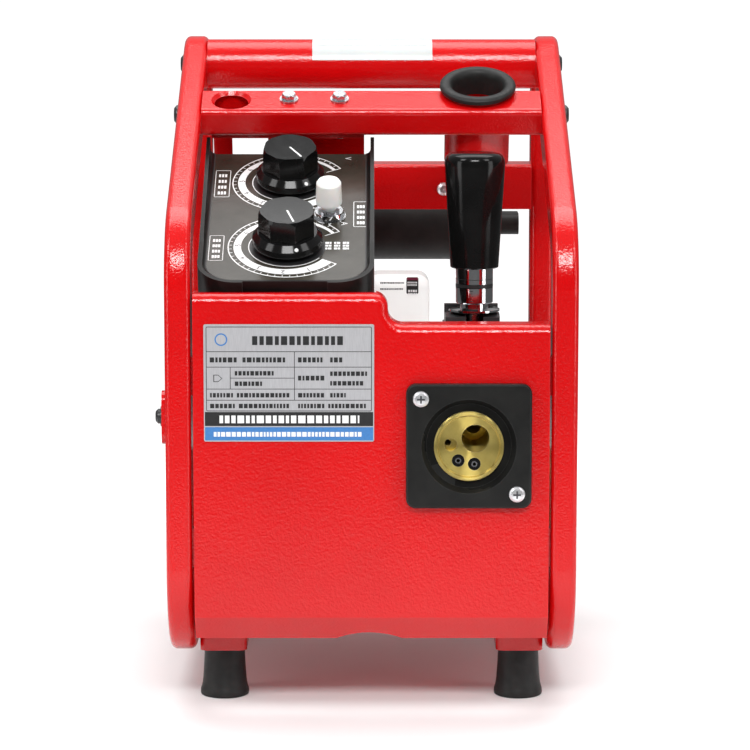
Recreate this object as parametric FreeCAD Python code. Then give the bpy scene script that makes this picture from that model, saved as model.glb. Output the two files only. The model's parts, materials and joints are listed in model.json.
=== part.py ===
import FreeCAD, Part
import math
import os

# Wire feeder for a MIG/MAG welding set: open steel frame with the controls, feed unit and spool hub.
# Millimetres. +X is to the user's right, +Y to the back, +Z up. The feet stand on z = 0.

V = FreeCAD.Vector
ORIGIN = V(0, 0, 0)
RIGHT = V(1, 0, 0)
LEFT = V(-1, 0, 0)
REAR = V(0, 1, 0)
AHEAD = V(0, -1, 0)
UP = V(0, 0, 1)
DOWN = V(0, 0, -1)

# frame
FRONT = -184.0          # y of the frame's front face
DEPTH = 255.0           # front face to rear face of the side frames
CLEAR_HALF = 93.0       # half the clear width between the side frames
RAIL_W = 13.5           # side frame thickness along x
RAIL_H = 22.0           # side frame width in its own plane
RAIL_EDGE = 3.5
Z_LOW = 27.0            # underside of the side frames
Z_BEND = 254.0          # height where the front legs turn into the slope
SLOPE = 24.5            # degrees above level
LOW_FRONT_R = 52.0
BEND_R = 45.0
TOP_REAR_R = 42.0
LOW_REAR_R = 45.0
PAD_R = 6.0
PAD_Z = 158.0
PAD_HALF = 8.0
PAD_BOLT_Z = 158.5
BASE_Z = 38.0
SHEET = 2.5

# front panel
PANEL_HALF = 91.8
PANEL_FACE = FRONT + 0.5
PANEL_DEEP = 16.0
PANEL_LOW = 40.5
PANEL_KNEE = 54.0
PANEL_TOP_LEFT = 223.4
PANEL_TOP_RIGHT = 207.3
STEP_X = 8.5            # middle of the S-shaped step in the top edge
STEP_HALF = 7.5
PANEL_ROLL = 5.0

# torch socket
SOCKET_X = 50.2
SOCKET_Z = 145.0
FLANGE = 64.7
FLANGE_T = 5.0
SOCKET_R = 18.0
WIRE_X = 53.6
WIRE_Z = 149.0
TORCH_BORE_R = 7.2
TORCH_BORE_DEEP = 40.0

# beam and handle
BEAM_DEEP = 26.0
BEAM_TALL = 16.0
BEAM_BACK = 122.0       # front top edge of the beam, behind the frame's front face
BEAM_HOLE_X = -77.0
BEAM_SCREW_X = (-45.3, -17.5)
HOLDER_X = 58.7
HOLDER_OUT = 18.0
HOLDER_IN = 15.6
HOLDER_LONG = 42.0
HANDLE_R = 14.0
HANDLE_BACK = 203.0
HANDLE_Z = 331.5

# control box: its own plane slopes with the frame
BOX_X = -44.5
BOX_HALF = 46.0
BOX_BACK = 14.0
BOX_Z = 229.7
BOX_LONG = 134.0
BOX_DEEP = 42.0
BOX_LIP = 6.0
BOX_CORNER = 20.0
BOX_WALL = 2.0
KNOB_X = -44.0
VOLTAGE_U = 101.5
CURRENT_U = 33.0
BUTTON_X = -22.6
BUTTON_U = 64.6
POT_SHAFT_R = 3.0
KNOB_SIDES = 7
VOLTAGE_POINTS = -59.0  # degrees, pointer direction in the face plane
CURRENT_POINTS = -73.0

# feed unit
ROLLER_BACK = 118.0
DRIVE_R = 18.5
PRESS_R = 18.3
ROLLER_W = 12.0
NIP = 0.6
PLATE_X = 29.0
PLATE_T = 8.0
LEVER_BACK = 75.0
LEVER_X = 55.1
LEVER_Z = 165.0
SEAT_R = 40.0
ARM_BACK = 150.0
ARM_Z = 172.0
ARM_X = 54.0
ARM_HALF = 14.5
ROD_R = 4.0

# spool hub
HUB_BACK = 338.0
HUB_Z = 230.0
HUB_R = 25.0
HUB_LEFT = -12.0
HUB_RIGHT = 77.0
SHAFT_R = 8.0
LATCH_OFF = 18.4
LATCH_T = 12.0
BRACKET_X = -22.0
BRACKET_T = 4.0

FOOT_X = 79.0
FOOT_BACK = (56.0, 199.0)
FOOT_TALL = 27.0
RUN = 0.05              # radial running clearance

SIN = math.sin(math.radians(SLOPE))
COS = math.cos(math.radians(SLOPE))
TAN = math.tan(math.radians(SLOPE))


def back(distance):
    """y of a point this far behind the frame's front face."""
    return FRONT + distance


def block(x0, x1, y0, y1, z0, z1):
    return Part.makeBox(x1 - x0, y1 - y0, z1 - z0, V(x0, y0, z0))


def rod(radius, x, y, z, direction, length):
    return Part.makeCylinder(radius, length, V(x, y, z), direction)


def tube(outer, inner, x, y, z, direction, length):
    return rod(outer, x, y, z, direction, length).cut(rod(inner, x, y, z, direction, length))


def merged(shapes):
    return shapes[0].multiFuse(shapes[1:]).removeSplitter()


def side_prism(points, x0, x1):
    """Solid with a straight-sided outline of (y, z) points, between two x planes."""
    ring = [V(x0, y, z) for y, z in points]
    return Part.Face(Part.makePolygon(ring + ring[:1])).extrude(V(x1 - x0, 0, 0))


def rounded_wire(corners, radii, x):
    """Closed wire in the plane at x through (y, z) corners, each rounded with its own radius."""
    count = len(corners)
    edges = []
    ends = []
    for i in range(count):
        here = V(x, *corners[i])
        before = (V(x, *corners[i - 1]) - here).normalize()
        after = (V(x, *corners[(i + 1) % count]) - here).normalize()
        half = before.getAngle(after) / 2
        reach = radii[i] / math.tan(half)
        start = here + before * reach
        end = here + after * reach
        middle = (before + after).normalize() * (radii[i] / math.sin(half) - radii[i])
        edges.append(Part.Arc(start, here + middle, end).toShape())
        ends.append((start, end))
    for i in range(count):
        edges.append(Part.makeLine(ends[i - 1][1], ends[i][0]))
    return Part.Wire(Part.__sortEdges__(edges))


def side_plate(corners, radii, x0, x1):
    return Part.Face(rounded_wire(corners, radii, x0)).extrude(V(x1 - x0, 0, 0))


def level_slab(x_mid, y_mid, x_size, y_size, z0, z1, corner):
    """Upright slab with rounded vertical corners."""
    slab = block(x_mid - x_size / 2, x_mid + x_size / 2, y_mid - y_size / 2, y_mid + y_size / 2, z0, z1)
    upright = [e for e in slab.Edges if abs(e.tangentAt(e.FirstParameter).z) > 0.9]
    return slab.makeFillet(corner, upright)


def turned(profile, x, y, z, direction):
    """Solid of revolution from (radius, height) points, standing at x, y, z along a direction."""
    ring = [V(r, 0, h) for r, h in profile]
    solid = Part.Face(Part.makePolygon(ring + ring[:1])).revolve(ORIGIN, UP, 360)
    solid.Placement = FreeCAD.Placement(V(x, y, z), FreeCAD.Rotation(UP, direction))
    return solid


def polygon_bar(sides, corner_r, x, y, z, direction, length, turn=0.0):
    ring = []
    for i in range(sides):
        a = math.radians(turn + 360.0 * i / sides)
        ring.append(V(corner_r * math.cos(a), corner_r * math.sin(a), 0))
    bar = Part.Face(Part.makePolygon(ring + ring[:1])).extrude(V(0, 0, length))
    bar.Placement = FreeCAD.Placement(V(x, y, z), FreeCAD.Rotation(UP, direction))
    return bar


def coil(mean_r, wire_r, pitch, turns, x, y, z, direction):
    """Round-wire spring."""
    helix = Part.makeHelix(pitch, pitch * turns, mean_r)
    section = Part.Wire(Part.makeCircle(wire_r, V(mean_r, 0, 0), REAR))
    spring = Part.Wire(helix).makePipeShell([section], True, True)
    spring.Placement = FreeCAD.Placement(V(x, y, z), FreeCAD.Rotation(UP, direction))
    return spring


def sloped(shape, distance, height):
    """Takes a piece drawn level and lays it on the frame's slope, its origin at the given place."""
    laid = shape.copy()
    laid.rotate(ORIGIN, RIGHT, SLOPE)
    laid.translate(V(0, back(distance), height))
    return laid


def in_box(shape):
    return sloped(shape, BOX_BACK, BOX_Z)


def save(name, *solids):
    shape = solids[0] if len(solids) == 1 else Part.makeCompound(list(solids))
    shape.exportStep("parts/" + name + ".step")


# ---------------------------------------------------------------- frame

def slope_z(distance):
    """Height of the side frame's outer line at a distance behind the front face."""
    return Z_BEND + distance * TAN


def side_frame(side):
    outer = [(FRONT, Z_LOW), (FRONT, Z_BEND), (back(DEPTH), slope_z(DEPTH)), (back(DEPTH), Z_LOW)]
    drop = RAIL_H / COS
    inner = [
        (FRONT + RAIL_H, Z_LOW + RAIL_H),
        (FRONT + RAIL_H, slope_z(RAIL_H) - drop),
        (back(DEPTH - RAIL_H), slope_z(DEPTH - RAIL_H) - drop),
        (back(DEPTH - RAIL_H), Z_LOW + RAIL_H),
    ]
    radii = [LOW_FRONT_R, BEND_R, TOP_REAR_R, LOW_REAR_R]
    x0 = CLEAR_HALF if side > 0 else -CLEAR_HALF - RAIL_W
    x1 = x0 + RAIL_W
    loop = side_plate(outer, radii, x0, x1).cut(side_plate(inner, [r - RAIL_H for r in radii], x0, x1))
    rims = [e for e in loop.Edges if abs(e.BoundBox.XMax - e.BoundBox.XMin) < 0.01]
    loop = loop.makeFillet(RAIL_EDGE, rims)
    for distance, height in frame_bolt_places():
        loop = loop.cut(rod(3.1, side * (CLEAR_HALF - 1), back(distance), height, V(side, 0, 0), RAIL_W + 2))
    return loop if side > 0 else with_pad(loop)


def with_pad(loop):
    """Adds the raised pad with rounded ends on the outside of the left side frame."""
    x = -CLEAR_HALF - RAIL_W
    y = back(RAIL_H / 2)
    pad = block(x - 2.0, x + 2, y - PAD_R, y + PAD_R, PAD_Z - PAD_HALF, PAD_Z + PAD_HALF)
    ends = [rod(PAD_R, x + 2, y, z, LEFT, 4.0) for z in (PAD_Z - PAD_HALF, PAD_Z + PAD_HALF)]
    return merged([loop, pad] + ends).cut(rod(2.6, -CLEAR_HALF + 1, y, PAD_BOLT_Z, LEFT, RAIL_W + 4))


def frame_bolt_places():
    """Distance behind the front face and height of the bolts through each side frame."""
    beam_mid = (BEAM_BACK + BEAM_DEEP / 2 * COS + BEAM_TALL / 2 * SIN, slope_z(BEAM_BACK + BEAM_DEEP / 2) - 8.8)
    return [beam_mid, (HANDLE_BACK, HANDLE_Z)]


def frame_bolts():
    bolts = []
    for side in (-1, 1):
        for distance, height in frame_bolt_places():
            x = side * (CLEAR_HALF + RAIL_W)
            out = V(side, 0, 0)
            head = turned([(0, 0), (5.2, 0), (5.2, 0.8), (3.6, 2.2), (0, 2.2)], x, back(distance), height, out)
            head = head.cut(polygon_bar(6, 1.9, x + side * 1.0, back(distance), height, out, 2))
            shank = rod(3.0, side * (CLEAR_HALF - 4), back(distance), height, out, RAIL_W + 4.5)
            bolts.append(merged([head, shank]))
    return bolts


def side_pad_bolt():
    x = -CLEAR_HALF - RAIL_W - 2.0
    y = back(RAIL_H / 2)
    washer = rod(5.2, x, y, PAD_BOLT_Z, LEFT, 0.7)
    head = turned([(0, 0.7), (3.9, 0.7), (3.9, 2.0), (2.6, 3.3), (0, 3.3)], x, y, PAD_BOLT_Z, LEFT)
    shank = rod(2.5, x, y, PAD_BOLT_Z, RIGHT, 12.0)
    return merged([washer, head, shank])


def panel_outline(inset):
    """Front view of the panel: an S-shaped step in the top edge and a shallow arch at the bottom."""
    half = PANEL_HALF - inset
    high = PANEL_TOP_LEFT - inset
    low = PANEL_TOP_RIGHT - inset
    middle = (high + low) / 2
    rise = (high - low) / 2
    sweep = 2 * math.atan2(rise, STEP_HALF)
    radius = STEP_HALF / math.sin(sweep)
    start = V(STEP_X - STEP_HALF - inset * 0.6, 0, high)
    centre = V(STEP_X - inset * 0.6, 0, middle)
    end = V(STEP_X + STEP_HALF - inset * 0.6, 0, low)
    bulge = V(radius * math.sin(sweep / 2), 0, radius * (1 - math.cos(sweep / 2)))
    first = Part.Arc(start, V(start.x + bulge.x, 0, start.z - bulge.z), centre).toShape()
    second = Part.Arc(centre, V(end.x - bulge.x, 0, end.z + bulge.z), end).toShape()
    corners = [end, V(half, 0, low), V(half, 0, PANEL_LOW), V(-half, 0, PANEL_LOW), V(-half, 0, high), start]
    sides = [Part.makeLine(corners[i], corners[i + 1]) for i in range(len(corners) - 1)]
    return Part.Face(Part.Wire(Part.__sortEdges__([first, second] + sides)))


def panel_body(inset):
    plan = panel_outline(inset)
    plan.translate(V(0, PANEL_FACE + inset, 0))
    body = plan.extrude(V(0, PANEL_DEEP, 0))
    if inset == 0:
        rim = []
        for e in body.Edges:
            b = e.BoundBox
            if b.YMax < PANEL_FACE + 0.01 and b.ZMin > PANEL_TOP_RIGHT - 1:
                rim.append(e)
        body = body.makeFillet(PANEL_ROLL, rim)
    tuck = 12.0
    y0 = PANEL_FACE + inset
    low = PANEL_LOW - 1
    wedge = [(y0 - 1, low - 1), (y0 - 1, PANEL_KNEE), (y0, PANEL_KNEE), (y0 + tuck, PANEL_LOW), (y0 + tuck, low - 1)]
    return body.cut(side_prism(wedge, -PANEL_HALF - 1, PANEL_HALF + 1))


def front_panel():
    panel = panel_body(0).cut(panel_body(SHEET))
    arch_half = 17.0
    arch_rise = 3.8
    arch_r = (arch_half**2 + arch_rise**2) / (2 * arch_rise)
    z = PANEL_LOW + arch_rise - arch_r
    panel = panel.cut(rod(arch_r, -1.0, FRONT - 2, z, REAR, PANEL_DEEP + 4))
    panel = panel.cut(rod(24.0, SOCKET_X, FRONT - 2, SOCKET_Z, REAR, 8))
    panel = panel.cut(block(-PANEL_HALF + SHEET, 2.5, back(9.5), back(20), PANEL_TOP_LEFT - 5, PANEL_TOP_LEFT + 1))
    for dx, dz in flange_screw_places():
        panel = panel.cut(rod(2.1, SOCKET_X + dx, FRONT - 2, SOCKET_Z + dz, REAR, 8))
    lugs = []
    for side in (-1, 1):
        for z in (90.0, 180.0):
            x0, x1 = sorted((side * PANEL_HALF, side * CLEAR_HALF))
            lugs.append(block(x0, x1, PANEL_FACE + 6, PANEL_FACE + 14, z - 10, z + 10))
    return merged([panel] + lugs)


def rating_plate():
    plate = block(-86.2, 1.4, PANEL_FACE - 0.6, PANEL_FACE, 147.0, 207.9)
    across = [e for e in plate.Edges if abs(e.tangentAt(e.FirstParameter).y) > 0.9]
    return plate.makeFillet(1.0, across)


def base_plate():
    y0 = back(40.0)
    y1 = back(232.0)
    floor = block(-CLEAR_HALF, CLEAR_HALF, y0, y1, BASE_Z, BASE_Z + SHEET)
    walls = []
    for side in (-1, 1):
        x0, x1 = sorted((side * CLEAR_HALF, side * (CLEAR_HALF - SHEET)))
        walls.append(block(x0, x1, y0 + 30, y1 - 20, BASE_Z, BASE_Z + 10))
    plate = merged([floor] + walls)
    for x, y in foot_places():
        plate = plate.cut(rod(2.7, x, y, BASE_Z - 1, UP, 5))
    return plate


def foot_places():
    return [(side * FOOT_X, back(d)) for side in (-1, 1) for d in FOOT_BACK]


def foot_pads():
    pads = []
    for x, y in foot_places():
        pad = level_slab(x, y, 25.0, 30.0, FOOT_TALL, BASE_Z, 4.0)
        pads.append(pad.cut(rod(2.7, x, y, FOOT_TALL - 1, UP, 14)))
    return pads


def rubber_feet():
    feet = []
    profile = [(2.7, 14), (6.5, 14), (6.5, 0), (12.4, 0), (13.0, 0.8), (12.9, 3.5), (12.0, 7.0)]
    profile += [(10.8, 25.5), (10.2, 27.0), (2.7, 27.0)]
    for x, y in foot_places():
        feet.append(turned(profile, x, y, 0, UP))
    return feet


def foot_screws():
    screws = []
    for x, y in foot_places():
        head = turned([(0, 11.0), (3.2, 11.0), (5.0, 12.6), (5.0, 14.0), (0, 14.0)], x, y, 0, UP)
        screws.append(merged([head, rod(2.5, x, y, 13.5, UP, BASE_Z + SHEET - 11.5)]))
    return screws


def foot_nuts():
    nuts = []
    for x, y in foot_places():
        nut = polygon_bar(6, 4.6, x, y, BASE_Z + SHEET, UP, 4.0)
        nuts.append(nut.cut(rod(2.6, x, y, BASE_Z, UP, 8)))
    return nuts


# ---------------------------------------------------------------- beam, handle, torch holder

def on_beam(shape):
    return sloped(shape, BEAM_BACK, slope_z(BEAM_BACK))


def front_beam():
    tall = BEAM_TALL
    outer = block(-CLEAR_HALF, CLEAR_HALF, 0, BEAM_DEEP, -tall, 0)
    long_edges = [e for e in outer.Edges if abs(e.tangentAt(e.FirstParameter).x) > 0.9]
    outer = outer.makeFillet(3.0, long_edges)
    hollow = block(-CLEAR_HALF + 4, CLEAR_HALF - 4, 2, BEAM_DEEP - 2, 2 - tall, -2)
    beam = outer.cut(hollow)
    mid = BEAM_DEEP / 2
    dish = turned([(0, -0.01), (11.0, -0.01), (8.8, -2.5), (8.8, -3), (0, -3)], BEAM_HOLE_X, mid, 0.01, UP)
    beam = beam.cut(dish)
    for x in BEAM_SCREW_X:
        beam = beam.cut(rod(2.6, x, mid, -tall - 1, UP, tall + 2))
    beam = beam.cut(rod(HOLDER_OUT, HOLDER_X, mid + 10, -tall - 1, UP, tall + 2))
    beam = on_beam(beam)
    for side in (-1, 1):
        distance, height = frame_bolt_places()[0]
        beam = beam.cut(rod(3.1, side * (CLEAR_HALF - 6), back(distance), height, V(side, 0, 0), 8))
    return beam


def beam_washers():
    y = BEAM_DEEP / 2
    return [on_beam(tube(5.1, 2.6, x, y, 0, UP, 1.1)) for x in BEAM_SCREW_X]


def beam_screws():
    screws = []
    for x in BEAM_SCREW_X:
        y = BEAM_DEEP / 2
        head = polygon_bar(6, 4.1, x, y, 1.1, UP, 3.0, 15)
        crown = turned([(0, 0), (5.4, 0), (3.4, 3.0), (0, 3.0)], x, y, 1.1, UP)
        screws.append(on_beam(merged([head.common(crown), rod(2.5, x, y, -BEAM_TALL - 7, UP, BEAM_TALL + 9)])))
    return screws


def control_bracket():
    """Sheet bracket that hangs from the beam and carries the back of the control box."""
    top = -BEAM_TALL
    flange = block(-87.8, -4.0, 3, 23, top - SHEET, top)
    web = block(-57.5, -4.0, 20.5, 23, top - 24, top)
    strap = block(-87.8, -77.5, 20.5, 23, top - 24, top)
    near = BOX_LONG - (BEAM_BACK - BOX_BACK) * COS - (slope_z(BEAM_BACK) - BOX_Z) * SIN
    shelf = block(-57.5, -4.0, near, 23, top - 26.5, top - 24)
    lip = block(-57.5, -4.0, near, near + 2.5, top - 26.5, top - 17)
    bracket = merged([flange, web, strap, shelf, lip])
    for x in BEAM_SCREW_X:
        bracket = bracket.cut(rod(2.6, x, BEAM_DEEP / 2, top - 4, UP, 6))
    return on_beam(bracket)


def torch_holder_tube():
    y = BEAM_DEEP / 2 + 10
    return on_beam(tube(HOLDER_OUT, HOLDER_IN, HOLDER_X, y, -HOLDER_LONG, UP, HOLDER_LONG + 1.5))


def torch_holder_grommet():
    """Rubber ring on the torch holder's mouth, with a sleeve inside the tube."""
    y = BEAM_DEEP / 2 + 10
    profile = [(14.0, -9.0), (15.6, -9.0), (15.6, 1.5), (20.2, 1.5), (21.0, 2.6), (20.6, 4.6)]
    profile += [(19.0, 5.6), (17.2, 5.6), (15.6, 4.4), (15.0, 2.6), (14.0, 1.0)]
    return on_beam(turned(profile, HOLDER_X, y, 0, UP))


def handle_tube():
    grip = tube(HANDLE_R, HANDLE_R - 2, -CLEAR_HALF, back(HANDLE_BACK), HANDLE_Z, RIGHT, 2 * CLEAR_HALF)
    plugs = []
    for side in (-1, 1):
        x = side * CLEAR_HALF
        plug = rod(HANDLE_R - 2, x, back(HANDLE_BACK), HANDLE_Z, V(-side, 0, 0), 5)
        plugs.append(plug.cut(rod(3.1, x, back(HANDLE_BACK), HANDLE_Z, V(-side, 0, 0), 5)))
    return merged([grip] + plugs)


def handle_sticker():
    """Blank label wrapped over the top of the handle."""
    x0, x1 = -33.5, 34.5
    wrap = tube(HANDLE_R + 0.25, HANDLE_R, x0, back(HANDLE_BACK), HANDLE_Z, RIGHT, x1 - x0)
    y = back(HANDLE_BACK)
    keep = side_prism([(y, HANDLE_Z), (y - 30, HANDLE_Z + 6), (y - 20, HANDLE_Z + 30), (y + 6, HANDLE_Z + 30)], x0, x1)
    return wrap.common(keep)


def rear_crossbeam():
    """Angle section between the rear legs, with its open side to the back."""
    y0 = back(DEPTH - RAIL_H) - 8
    web = block(-CLEAR_HALF, CLEAR_HALF, y0, y0 + 3, 246.3, 272.3)
    shelf = block(-CLEAR_HALF, CLEAR_HALF, y0, y0 + 26, 269.3, 272.3)
    beam = merged([web, shelf])
    edge = [e for e in beam.Edges if e.BoundBox.YMax < y0 + 0.01 and e.BoundBox.ZMin > 272.2]
    beam = beam.makeFillet(2.0, edge)
    for x, z in crossbeam_screw_places():
        beam = beam.cut(rod(2.1, x, y0 - 1, z, REAR, 6))
    return beam


def crossbeam_screw_places():
    return [(42.0, 258.0), (-42.0, 258.0)]


def crossbeam_screws():
    y0 = back(DEPTH - RAIL_H) - 8
    screws = []
    for x, z in crossbeam_screw_places():
        head = turned([(0, 0), (4.0, 0), (3.6, 1.4), (2.2, 2.4), (0, 2.6)], x, y0, z, AHEAD)
        screws.append(merged([head, rod(2.0, x, y0 - 0.5, z, REAR, 10)]))
    return screws


# ---------------------------------------------------------------- control box

def box_plan(inset, u_end, w0, w1, corner):
    """Slab in the box's plane with rounded front corners; u runs up the slope, w out of the face."""
    x0 = BOX_X - BOX_HALF + inset
    x1 = BOX_X + BOX_HALF - inset
    slab = block(x0, x1, inset - BOX_LIP, u_end, w0, w1)
    front = []
    for e in slab.Edges:
        b = e.BoundBox
        if b.ZMax - b.ZMin > 1 and b.YMax < inset - BOX_LIP + 0.01:
            front.append(e)
    return slab.makeFillet(corner, front)


def control_housing():
    body = box_plan(0, BOX_LONG, -BOX_DEEP, 13.0, BOX_CORNER)
    low_rim = 1.6
    slant = [(-20, low_rim), (35, low_rim), (60, 3.2), (95, 6.0), (BOX_LONG + 1, 10.4), (BOX_LONG + 1, 20), (-20, 20)]
    body = body.cut(side_prism(slant, BOX_X - 60, BOX_X + 60))
    dish = box_plan(BOX_WALL, BOX_LONG + 20, 0, 30, BOX_CORNER - BOX_WALL)
    floor_rim = []
    for e in dish.Edges:
        b = e.BoundBox
        if b.ZMax < 0.01 and b.YMax > 5 and b.XMax - b.XMin < 1:
            floor_rim.append(e)
    body = body.cut(dish.makeFillet(3.0, floor_rim))
    body = body.cut(box_plan(BOX_WALL + 0.5, BOX_LONG + 20, -1.5, 0.01, BOX_CORNER - BOX_WALL - 1))
    body = body.cut(box_plan(BOX_WALL, BOX_LONG - BOX_WALL, -BOX_DEEP - 1, -4.5, BOX_CORNER - BOX_WALL))
    body = body.cut(block(BOX_X - 22, BOX_X + 22, -BOX_LIP - 1, -BOX_LIP + 1.2, -7.0, 2.0))
    for x, u, radius in face_holes():
        body = body.cut(rod(radius, x, u, -6, UP, 8))
    return in_box(body)


def face_holes():
    return [(KNOB_X, VOLTAGE_U, 4.6), (KNOB_X, CURRENT_U, 4.6), (BUTTON_X, BUTTON_U, 6.1)]


def control_face():
    plate = box_plan(BOX_WALL + 0.6, BOX_LONG - 0.5, -1.5, 0, BOX_CORNER - BOX_WALL - 1.1)
    for x, u, radius in face_holes():
        plate = plate.cut(rod(radius, x, u, -3, UP, 5))
    return in_box(plate)


def housing_cover():
    cover = box_plan(0.5, BOX_LONG - 0.5, -BOX_DEEP - 2, -BOX_DEEP, BOX_CORNER - 0.5)
    return in_box(cover)


def potentiometers():
    """Two panel potentiometers and their nuts."""
    bodies = []
    for u in (VOLTAGE_U, CURRENT_U):
        can = rod(12.0, KNOB_X, u, -20, UP, 13)
        deck = rod(9.0, KNOB_X, u, -7, UP, 2.5)
        neck = rod(4.5, KNOB_X, u, -5, UP, 7.5)
        whole = merged([can, deck, neck])
        bodies.append(in_box(whole.cut(rod(POT_SHAFT_R + RUN, KNOB_X, u, -12, UP, 20))))
        nut = polygon_bar(6, 6.4, KNOB_X, u, 0, UP, 2.2)
        bodies.append(in_box(nut.cut(rod(4.5, KNOB_X, u, -1, UP, 5))))
    return bodies


def control_knob(u, points):
    """Seven-sided knob on a flared skirt, with a pointer groove in its crown, and the shaft it grips."""
    profile = [(0, 3.2), (18.6, 3.2), (18.8, 4.0), (18.4, 6.6), (17.2, 7.8), (15.6, 9.4), (0, 9.4)]
    skirt = turned(profile, KNOB_X, u, 0, UP)
    grip = polygon_bar(KNOB_SIDES, 15.2, KNOB_X, u, 8.0, UP, 15.0, points)
    crown = turned([(0, 6), (15.8, 6), (15.0, 20.2), (14.1, 22.0), (0, 22.0)], KNOB_X, u, 0, UP)
    knob = merged([skirt, grip.common(crown)])
    groove = block(KNOB_X, KNOB_X + 12.5, u - 0.5, u + 0.5, 21.6, 24.0)
    groove.rotate(V(KNOB_X, u, 0), UP, points)
    knob = knob.cut(groove)
    knob = knob.cut(rod(POT_SHAFT_R, KNOB_X, u, 2, UP, 14.5))
    knob = knob.cut(rod(7.2, KNOB_X, u, 2, UP, 1.8))
    shaft = rod(POT_SHAFT_R, KNOB_X, u, -11.5, UP, 28.0)
    return [in_box(knob), in_box(shaft)]


def inch_switch_body():
    barrel = rod(6.0, BUTTON_X, BUTTON_U, -5, UP, 10.2)
    case = rod(8.0, BUTTON_X, BUTTON_U, -24, UP, 19.5)
    whole = merged([barrel, case])
    return in_box(whole.cut(rod(4.0 + RUN, BUTTON_X, BUTTON_U, -16, UP, 30)))


def inch_switch_nut():
    nut = polygon_bar(6, 8.6, BUTTON_X, BUTTON_U, 1.0, UP, 3.0, 10)
    crown = turned([(0, 0), (9.6, 0), (9.0, 0.8), (7.4, 4.1), (0, 4.1)], BUTTON_X, BUTTON_U, 0, UP)
    washer = rod(9.0, BUTTON_X, BUTTON_U, 0, UP, 1.0)
    whole = merged([nut.common(crown), washer])
    return in_box(whole.cut(rod(6.0, BUTTON_X, BUTTON_U, -1, UP, 8)))


def inch_button_cap():
    profile = [(0, 8.6), (6.9, 8.6), (7.0, 9.4), (6.6, 20.4), (5.6, 21.8), (0, 22.6)]
    cap = turned(profile, BUTTON_X, BUTTON_U, 0, UP)
    return in_box(merged([cap, rod(4.0, BUTTON_X, BUTTON_U, -10, UP, 19)]))


# ---------------------------------------------------------------- torch socket

def flange_screw_places():
    return [(-24.8, 24.8), (24.8, -24.8)]


def socket_flange():
    """Square plastic plate with a round recess that holds the brass socket."""
    half = FLANGE / 2
    y1 = PANEL_FACE
    y0 = y1 - FLANGE_T
    plate = block(SOCKET_X - half, SOCKET_X + half, y0, y1, SOCKET_Z - half, SOCKET_Z + half)
    through = [e for e in plate.Edges if abs(e.tangentAt(e.FirstParameter).y) > 0.9]
    plate = plate.makeFillet(5.0, through)
    face_rim = [e for e in plate.Edges if e.BoundBox.YMax < y0 + 0.01]
    plate = plate.makeChamfer(0.8, face_rim)
    boss = rod(23.8, SOCKET_X, y1 - 0.5, SOCKET_Z, REAR, 10.5)
    flange = merged([plate, boss])
    well = turned([(0, -1), (24.5, -1), (24.5, 0), (22.0, 3.4), (0, 3.4)], SOCKET_X, y0, SOCKET_Z, REAR)
    flange = flange.cut(well).cut(rod(SOCKET_R, SOCKET_X, y0 - 1, SOCKET_Z, REAR, 20))
    for dx, dz in flange_screw_places():
        flange = flange.cut(rod(2.1, SOCKET_X + dx, y0 - 1, SOCKET_Z + dz, REAR, 10))
    return flange


def flange_screws():
    y0 = PANEL_FACE - FLANGE_T
    screws = []
    for dx, dz in flange_screw_places():
        x = SOCKET_X + dx
        z = SOCKET_Z + dz
        head = turned([(0, 0), (4.2, 0), (4.0, 1.2), (3.0, 2.1), (0, 2.6)], x, y0, z, AHEAD)
        head = head.cut(block(x - 2.0, x + 2.0, y0 - 4, y0 - 1.3, z - 0.45, z + 0.45))
        head = head.cut(block(x - 0.45, x + 0.45, y0 - 4, y0 - 1.3, z - 2.0, z + 2.0))
        screws.append(merged([head, rod(2.0, x, y0 - 0.5, z, REAR, 13)]))
    return screws


def contact_places():
    return [(44.7, 137.5), (53.0, 135.7)]


def socket_body():
    """Brass torch socket: raised rim, wide bore for the wire tube, gas port and two contact holes."""
    y0 = PANEL_FACE - 4.6
    rim = turned([(0, 0), (17.4, 0), (SOCKET_R, 0.6), (SOCKET_R, 20), (0, 20)], SOCKET_X, y0, SOCKET_Z, REAR)
    stem = rod(13.0, SOCKET_X, y0 + 20, SOCKET_Z, REAR, 54.0)
    body = merged([rim, stem])
    face = turned([(0, -1), (16.9, -1), (15.6, 1.4), (0, 1.4)], SOCKET_X, y0, SOCKET_Z, REAR)
    body = body.cut(face)
    body = body.cut(turned([(0, 0), (8.3, 0), (7.2, 1.1), (7.2, 41.4), (0, 41.4)], WIRE_X, y0, WIRE_Z, REAR))
    body = body.cut(rod(7.2, WIRE_X, y0 + 1, WIRE_Z, REAR, TORCH_BORE_DEEP + 0.4))
    body = body.cut(rod(4.0, WIRE_X, y0 + 30, WIRE_Z, REAR, 50))
    body = body.cut(rod(3.4, 40.8, y0, 145.8, REAR, 4.4)).cut(rod(1.7, 39.4, y0, 146.4, REAR, 26))
    for x, z in contact_places():
        body = body.cut(rod(3.3, x, y0, z, REAR, 19.0))
    return body


def contact_insulators():
    y0 = PANEL_FACE - 3.0
    return [tube(3.3, 1.5, x, y0, z, REAR, 17.0) for x, z in contact_places()]


def contact_sleeves():
    y0 = PANEL_FACE - 3.4
    sleeves = []
    for x, z in contact_places():
        sleeves.append(tube(1.5, 0.9, x, y0, z, REAR, 16.0))
    return sleeves


# ---------------------------------------------------------------- feed unit

DRIVE_Z = WIRE_Z - NIP / 2 - DRIVE_R
PRESS_Z = WIRE_Z + NIP / 2 + PRESS_R
PLATE_END = PLATE_X + PLATE_T
ROLLER_X = WIRE_X - ROLLER_W / 2


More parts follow.
